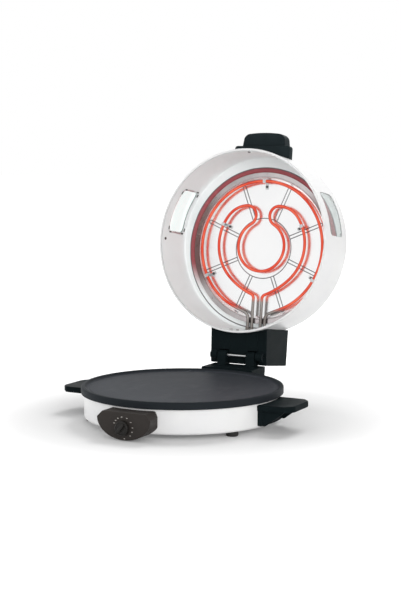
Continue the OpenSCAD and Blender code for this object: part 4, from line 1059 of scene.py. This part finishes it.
def outer_tube_path():
    turn = -RING_LEAVE
    t = math.radians(turn)
    leave = Vector((0, -RING_Y)) + polar(RING_R, RING_LEAVE)
    run = (leave.x - LEG_OUT_X - OUTER_BEND_R * (1 - math.cos(t))) / math.sin(t)
    leg_up = leave.y - run * math.cos(t) - OUTER_BEND_R * math.sin(t)
    leg = [Vector((LEG_OUT_X, -LEG_END)), Vector((LEG_OUT_X, leg_up))]
    bend = arc((LEG_OUT_X + OUTER_BEND_R, leg_up), OUTER_BEND_R, 180, 180 - turn, 8)[1:]
    ring = arc((0, -RING_Y), RING_R, RING_LEAVE, 180 + turn, 96)
    return leg + bend + ring + mirrored_x(leg + bend)


def inner_tube_path():
    sweep_c = -polar(SWEEP_R - SHOULDER_R, SHOULDER_A0)
    bend_x = LEG_IN_X + INNER_BEND_R
    bend_c = Vector((bend_x, sweep_c.y - math.sqrt((SWEEP_R + INNER_BEND_R) ** 2
                                                   - (bend_x - sweep_c.x) ** 2)))
    sweep_a0 = heading(bend_c - sweep_c)
    top_c = polar(SHOULDER_R - TOP_R, SHOULDER_A1)
    loop_c = Vector((0, -LOOP_Y))
    span = (top_c - loop_c).length
    reach = LOOP_R + CURL_R
    off = math.degrees(math.acos((span ** 2 + reach ** 2 - (TOP_R - CURL_R) ** 2)
                                 / (2 * span * reach)))
    from_loop = heading(top_c - loop_c) + off
    curl_c = loop_c + polar(reach, from_loop)
    top_a1 = heading(curl_c - top_c)
    half = [Vector((LEG_IN_X, -LEG_END)), Vector((LEG_IN_X, bend_c.y))]
    half += arc(bend_c, INNER_BEND_R, 180, 180 + sweep_a0, 7)[1:]
    half += arc(sweep_c, SWEEP_R, sweep_a0, SHOULDER_A0, 10)[1:]
    half += arc((0, 0), SHOULDER_R, SHOULDER_A0, SHOULDER_A1, 24)[1:]
    half += arc(top_c, TOP_R, SHOULDER_A1, top_a1, 14)[1:]
    half += arc(curl_c, CURL_R, top_a1, from_loop + 180, 20)[1:]
    loop = arc(loop_c, LOOP_R, from_loop, -180 - from_loop, 72)[1:]
    return half + loop + mirrored_x(half)[1:]


def make_upper_heaters():
    flipped = Matrix.Translation((0, 0, HEATER_D)) @ Matrix.Scale(-1, 4, (0, 1, 0))
    for name, path, sheath in (("upper_outer_heater", outer_tube_path(), outer_sheath),
                               ("upper_inner_heater", inner_tube_path(), inner_sheath)):
        tube = swept(path, round_section(TUBE_R, 14))
        tube.transform(flipped)
        piece("glowing_" + name, "lid", sheath, [pointing_out(tube)],
              [name], sharp=50)


def make_windows():
    """Panes between drum and inner wall, each with a flat band and eight bent tabs inside."""
    pane_r, band_r, band_half = 195.9, 193.3, 2.0
    over = Matrix.Translation((0, WINDOW_MID, 0))
    middle_line = [(a + b) / 2 for a, b in zip(window_outline(2 * band_half),
                                               window_outline(0))]
    flat = [(band_half, -0.1), (1.7, -0.4), (-1.7, -0.4), (-band_half, -0.1),
            (-band_half, 0.4), (band_half, 0.4)]
    half_w, half_h = WINDOW_W / 2 + band_half, WINDOW_H / 2 + band_half
    tab = soften([(-3.6, -1.6, 1.2), (3.6, -1.6, 1.2), (3.6, 1.6, 1.2), (-3.6, 1.6, 1.2)])
    tab_places = [(way * (half_w - 9), side * half_h, 0) for side in (1, -1)
                  for way in (-1, 1)]
    tab_places += [(way * half_w, side * (half_h - 8), 90) for side in (1, -1)
                   for way in (-1, 1)]
    for side, word in ((-1, "left"), (1, "right")):
        def on_wall(bm, at, radius, pitch):
            bm.transform(over @ at)
            return wrapped(bm, radius, side * WINDOW_TURN, pitch)

        glazing = on_wall(slab(window_outline(5), -1.0, 1.0, 0.3, 1), Matrix(), pane_r, 6)
        piece(word + "_pane", "lid", glass, [glazing],
              [word + "_window_glass"], sharp=25)
        band = on_wall(swept(middle_line, flat, closed=True), Matrix(), band_r, 5)
        piece(word + "_window_band", "lid", trim_steel, [band],
              [word + "_window_frame"])
        tabs = [on_wall(slab(tab, -0.5, 0.9, 0.3, 2), Matrix.Translation((x, y, -1.1))
                        @ Matrix.Rotation(math.radians(lie), 4, "Z"), band_r, 5)
                for x, y, lie in tab_places]
        piece(word + "_window_tabs", "lid", dark_steel, tabs)


def make_lid_handle():
    """A thin collar on the drum and a deeper grip whose outer edge is slightly bowed."""
    def along_drum(half):
        touch = LID_R + 0.3
        reach = math.degrees(math.asin(half / touch))
        return arc((0, 0), touch, 270 + reach, 270 - reach, 16)

    collar = soften(along_drum(67) + [(-67, -216, 6), (67, -216, 6)], steps=6)
    tip, corner, bow_r, grip_reach = 50, 16, 300, 246
    bow = math.degrees(math.asin((tip - corner) / (bow_r - corner)))
    bow_y = bow_r - grip_reach
    corner_y = bow_y - (bow_r - corner) * math.cos(math.radians(bow))
    grip = along_drum(56) + arc((corner - tip, corner_y), corner, 180, 270 - bow, 10) \
        + arc((0, bow_y), bow_r, 270 - bow, 270 + bow, 12)[1:-1] \
        + arc((tip - corner, corner_y), corner, 270 + bow, 360, 10)
    piece("moulded_lid_handle", "lid", phenolic_lit_copy,
          [slab(collar, 80, 97, 2.0), slab(grip, 86, 117, 3.0, 4)], ["lid_handle"])


def make_hinge_block():
    """Black housing on the rear of the lid, in columns between the hinge's notches."""
    back, top = HINGE_Y + 17.5, LID_DEPTH + 4
    mouth_d, pin_d = 20.5, HINGE_Z - LID_Z
    notch_d = pin_d + 15.5
    front, touch = 191, LID_R + 0.25
    housing = soften([(190, notch_d, 0.1), (back, notch_d, 0.6), (back, top, 3.5),
                      (190, top, 0.1)])
    foot = soften([(190, mouth_d), (190, notch_d + 2), (back, notch_d + 2), (back, 29.5, 2)])
    cheek = soften([(190, mouth_d), (190, notch_d + 2), (236, notch_d + 2),
                    (236, mouth_d + 4.5)])
    parts = [stepped_block(housing, -BLOCK_HALF, BLOCK_HALF, 20, 2.2, front)]
    parts += [stepped_block(foot, low, high, 4, 1.5)
              for low, high in ((-BLOCK_HALF, -45), (-23, 23), (45, BLOCK_HALF))]
    parts += [stepped_block(cheek, low, low + 24, 4) for low in (-46, 22)]
    parts = [against_wall(part, front, touch) for part in parts]
    parts += [lug(low, low + 16, HINGE_Y, pin_d, 10, 10, pin_d + 10) for low in (46, -62)]
    piece("hinge_housing", "lid", phenolic, parts, ["hinge_block"])


# ---------------------------------------------------------------- room and light

def white_for_the_eye(tree):
    """1 where the camera, a mirror or glass sees a surface directly."""
    path = tree.node("ShaderNodeLightPath").outputs
    return tree.plus(path["Is Camera Ray"],
                     tree.plus(path["Is Glossy Ray"], path["Is Transmission Ray"]), clamp=True)


def make_world():
    world = bpy.data.worlds.new("studio")
    world.use_nodes = True
    world.node_tree.nodes.clear()
    tree = Tree(world.node_tree)
    strength = tree.plus(tree.times(white_for_the_eye(tree), 0.58), 0.42)
    light = tree.node("ShaderNodeBackground", {"Color": colour(1, 1, 1),
                                               "Strength": strength})
    leave = tree.node("ShaderNodeOutputWorld")
    world.node_tree.links.new(light.outputs[0], leave.inputs[0])
    scene.world = world


def make_floor():
    bm = bmesh.new()
    bmesh.ops.create_grid(bm, x_segments=1, y_segments=1, size=20)
    mesh = bpy.data.meshes.new("floor")
    bm.to_mesh(mesh)
    bm.free()
    floor = bpy.data.objects.new("floor", mesh)
    scene.collection.objects.link(floor)
    tree = Finish("pale_floor")
    distance = tree.vector("LENGTH", tree.place)
    # Painted light: the floor glows for the eye, mirrors and glass, faintly near the object and
    # more with distance, so that it reads white beyond the shadow.
    near = tree.span(distance, 0.26, 0.6, 0.09, 0.5)
    lift = tree.plus(near, tree.span(distance, 0.8, 1.8, 0.0, 0.45))
    floor.data.materials.append(tree.finished({
        "Base Color": colour(0.74, 0.74, 0.74), "Roughness": 0.9, "Specular IOR Level": 0.0,
        "Emission Color": colour(1, 1, 1),
        "Emission Strength": tree.times(white_for_the_eye(tree), lift)}))


def area_lamp(name, location, aim, size, watts):
    """A round soft lamp, not mirrored by the bright pan, which shows the white room."""
    data = bpy.data.lights.new(name, "AREA")
    data.shape = "DISK"
    data.size = size
    data.energy = watts
    lamp = bpy.data.objects.new(name, data)
    lamp.location = location
    lamp.rotation_euler = (Vector(aim) - Vector(location)).to_track_quat("-Z", "Y").to_euler()
    lamp.visible_glossy = False
    scene.collection.objects.link(lamp)


def make_lights():
    area_lamp("key_light", (2.1, -2.05, 0.9), (0, 0, 0.25), 2.2, 54)
    area_lamp("fill_light", (-2.7, -1.0, 0.6), (0, 0, 0.15), 1.8, 44)
    area_lamp("back_light", (0.1, 1.7, 2.2), (0, 0, 0.1), 1.6, 48)


# ---------------------------------------------------------------- assembly

scene.view_settings.view_transform = "Standard"
make_camera()
for finish, names in cad_finish.items():
    for name in names:
        nodes[name].data.materials.clear()
        nodes[name].data.materials.append(finish)

make_base_shell()
make_plate()
make_feet()
make_side_handles()
make_pod()
make_dial_marks()
make_knob()
make_hinge_support()
make_gland()
make_lid_shell()
make_liner()
make_reflector()
make_upper_heaters()
make_windows()
make_lid_handle()
make_hinge_block()
make_world()
make_floor()
make_lights()
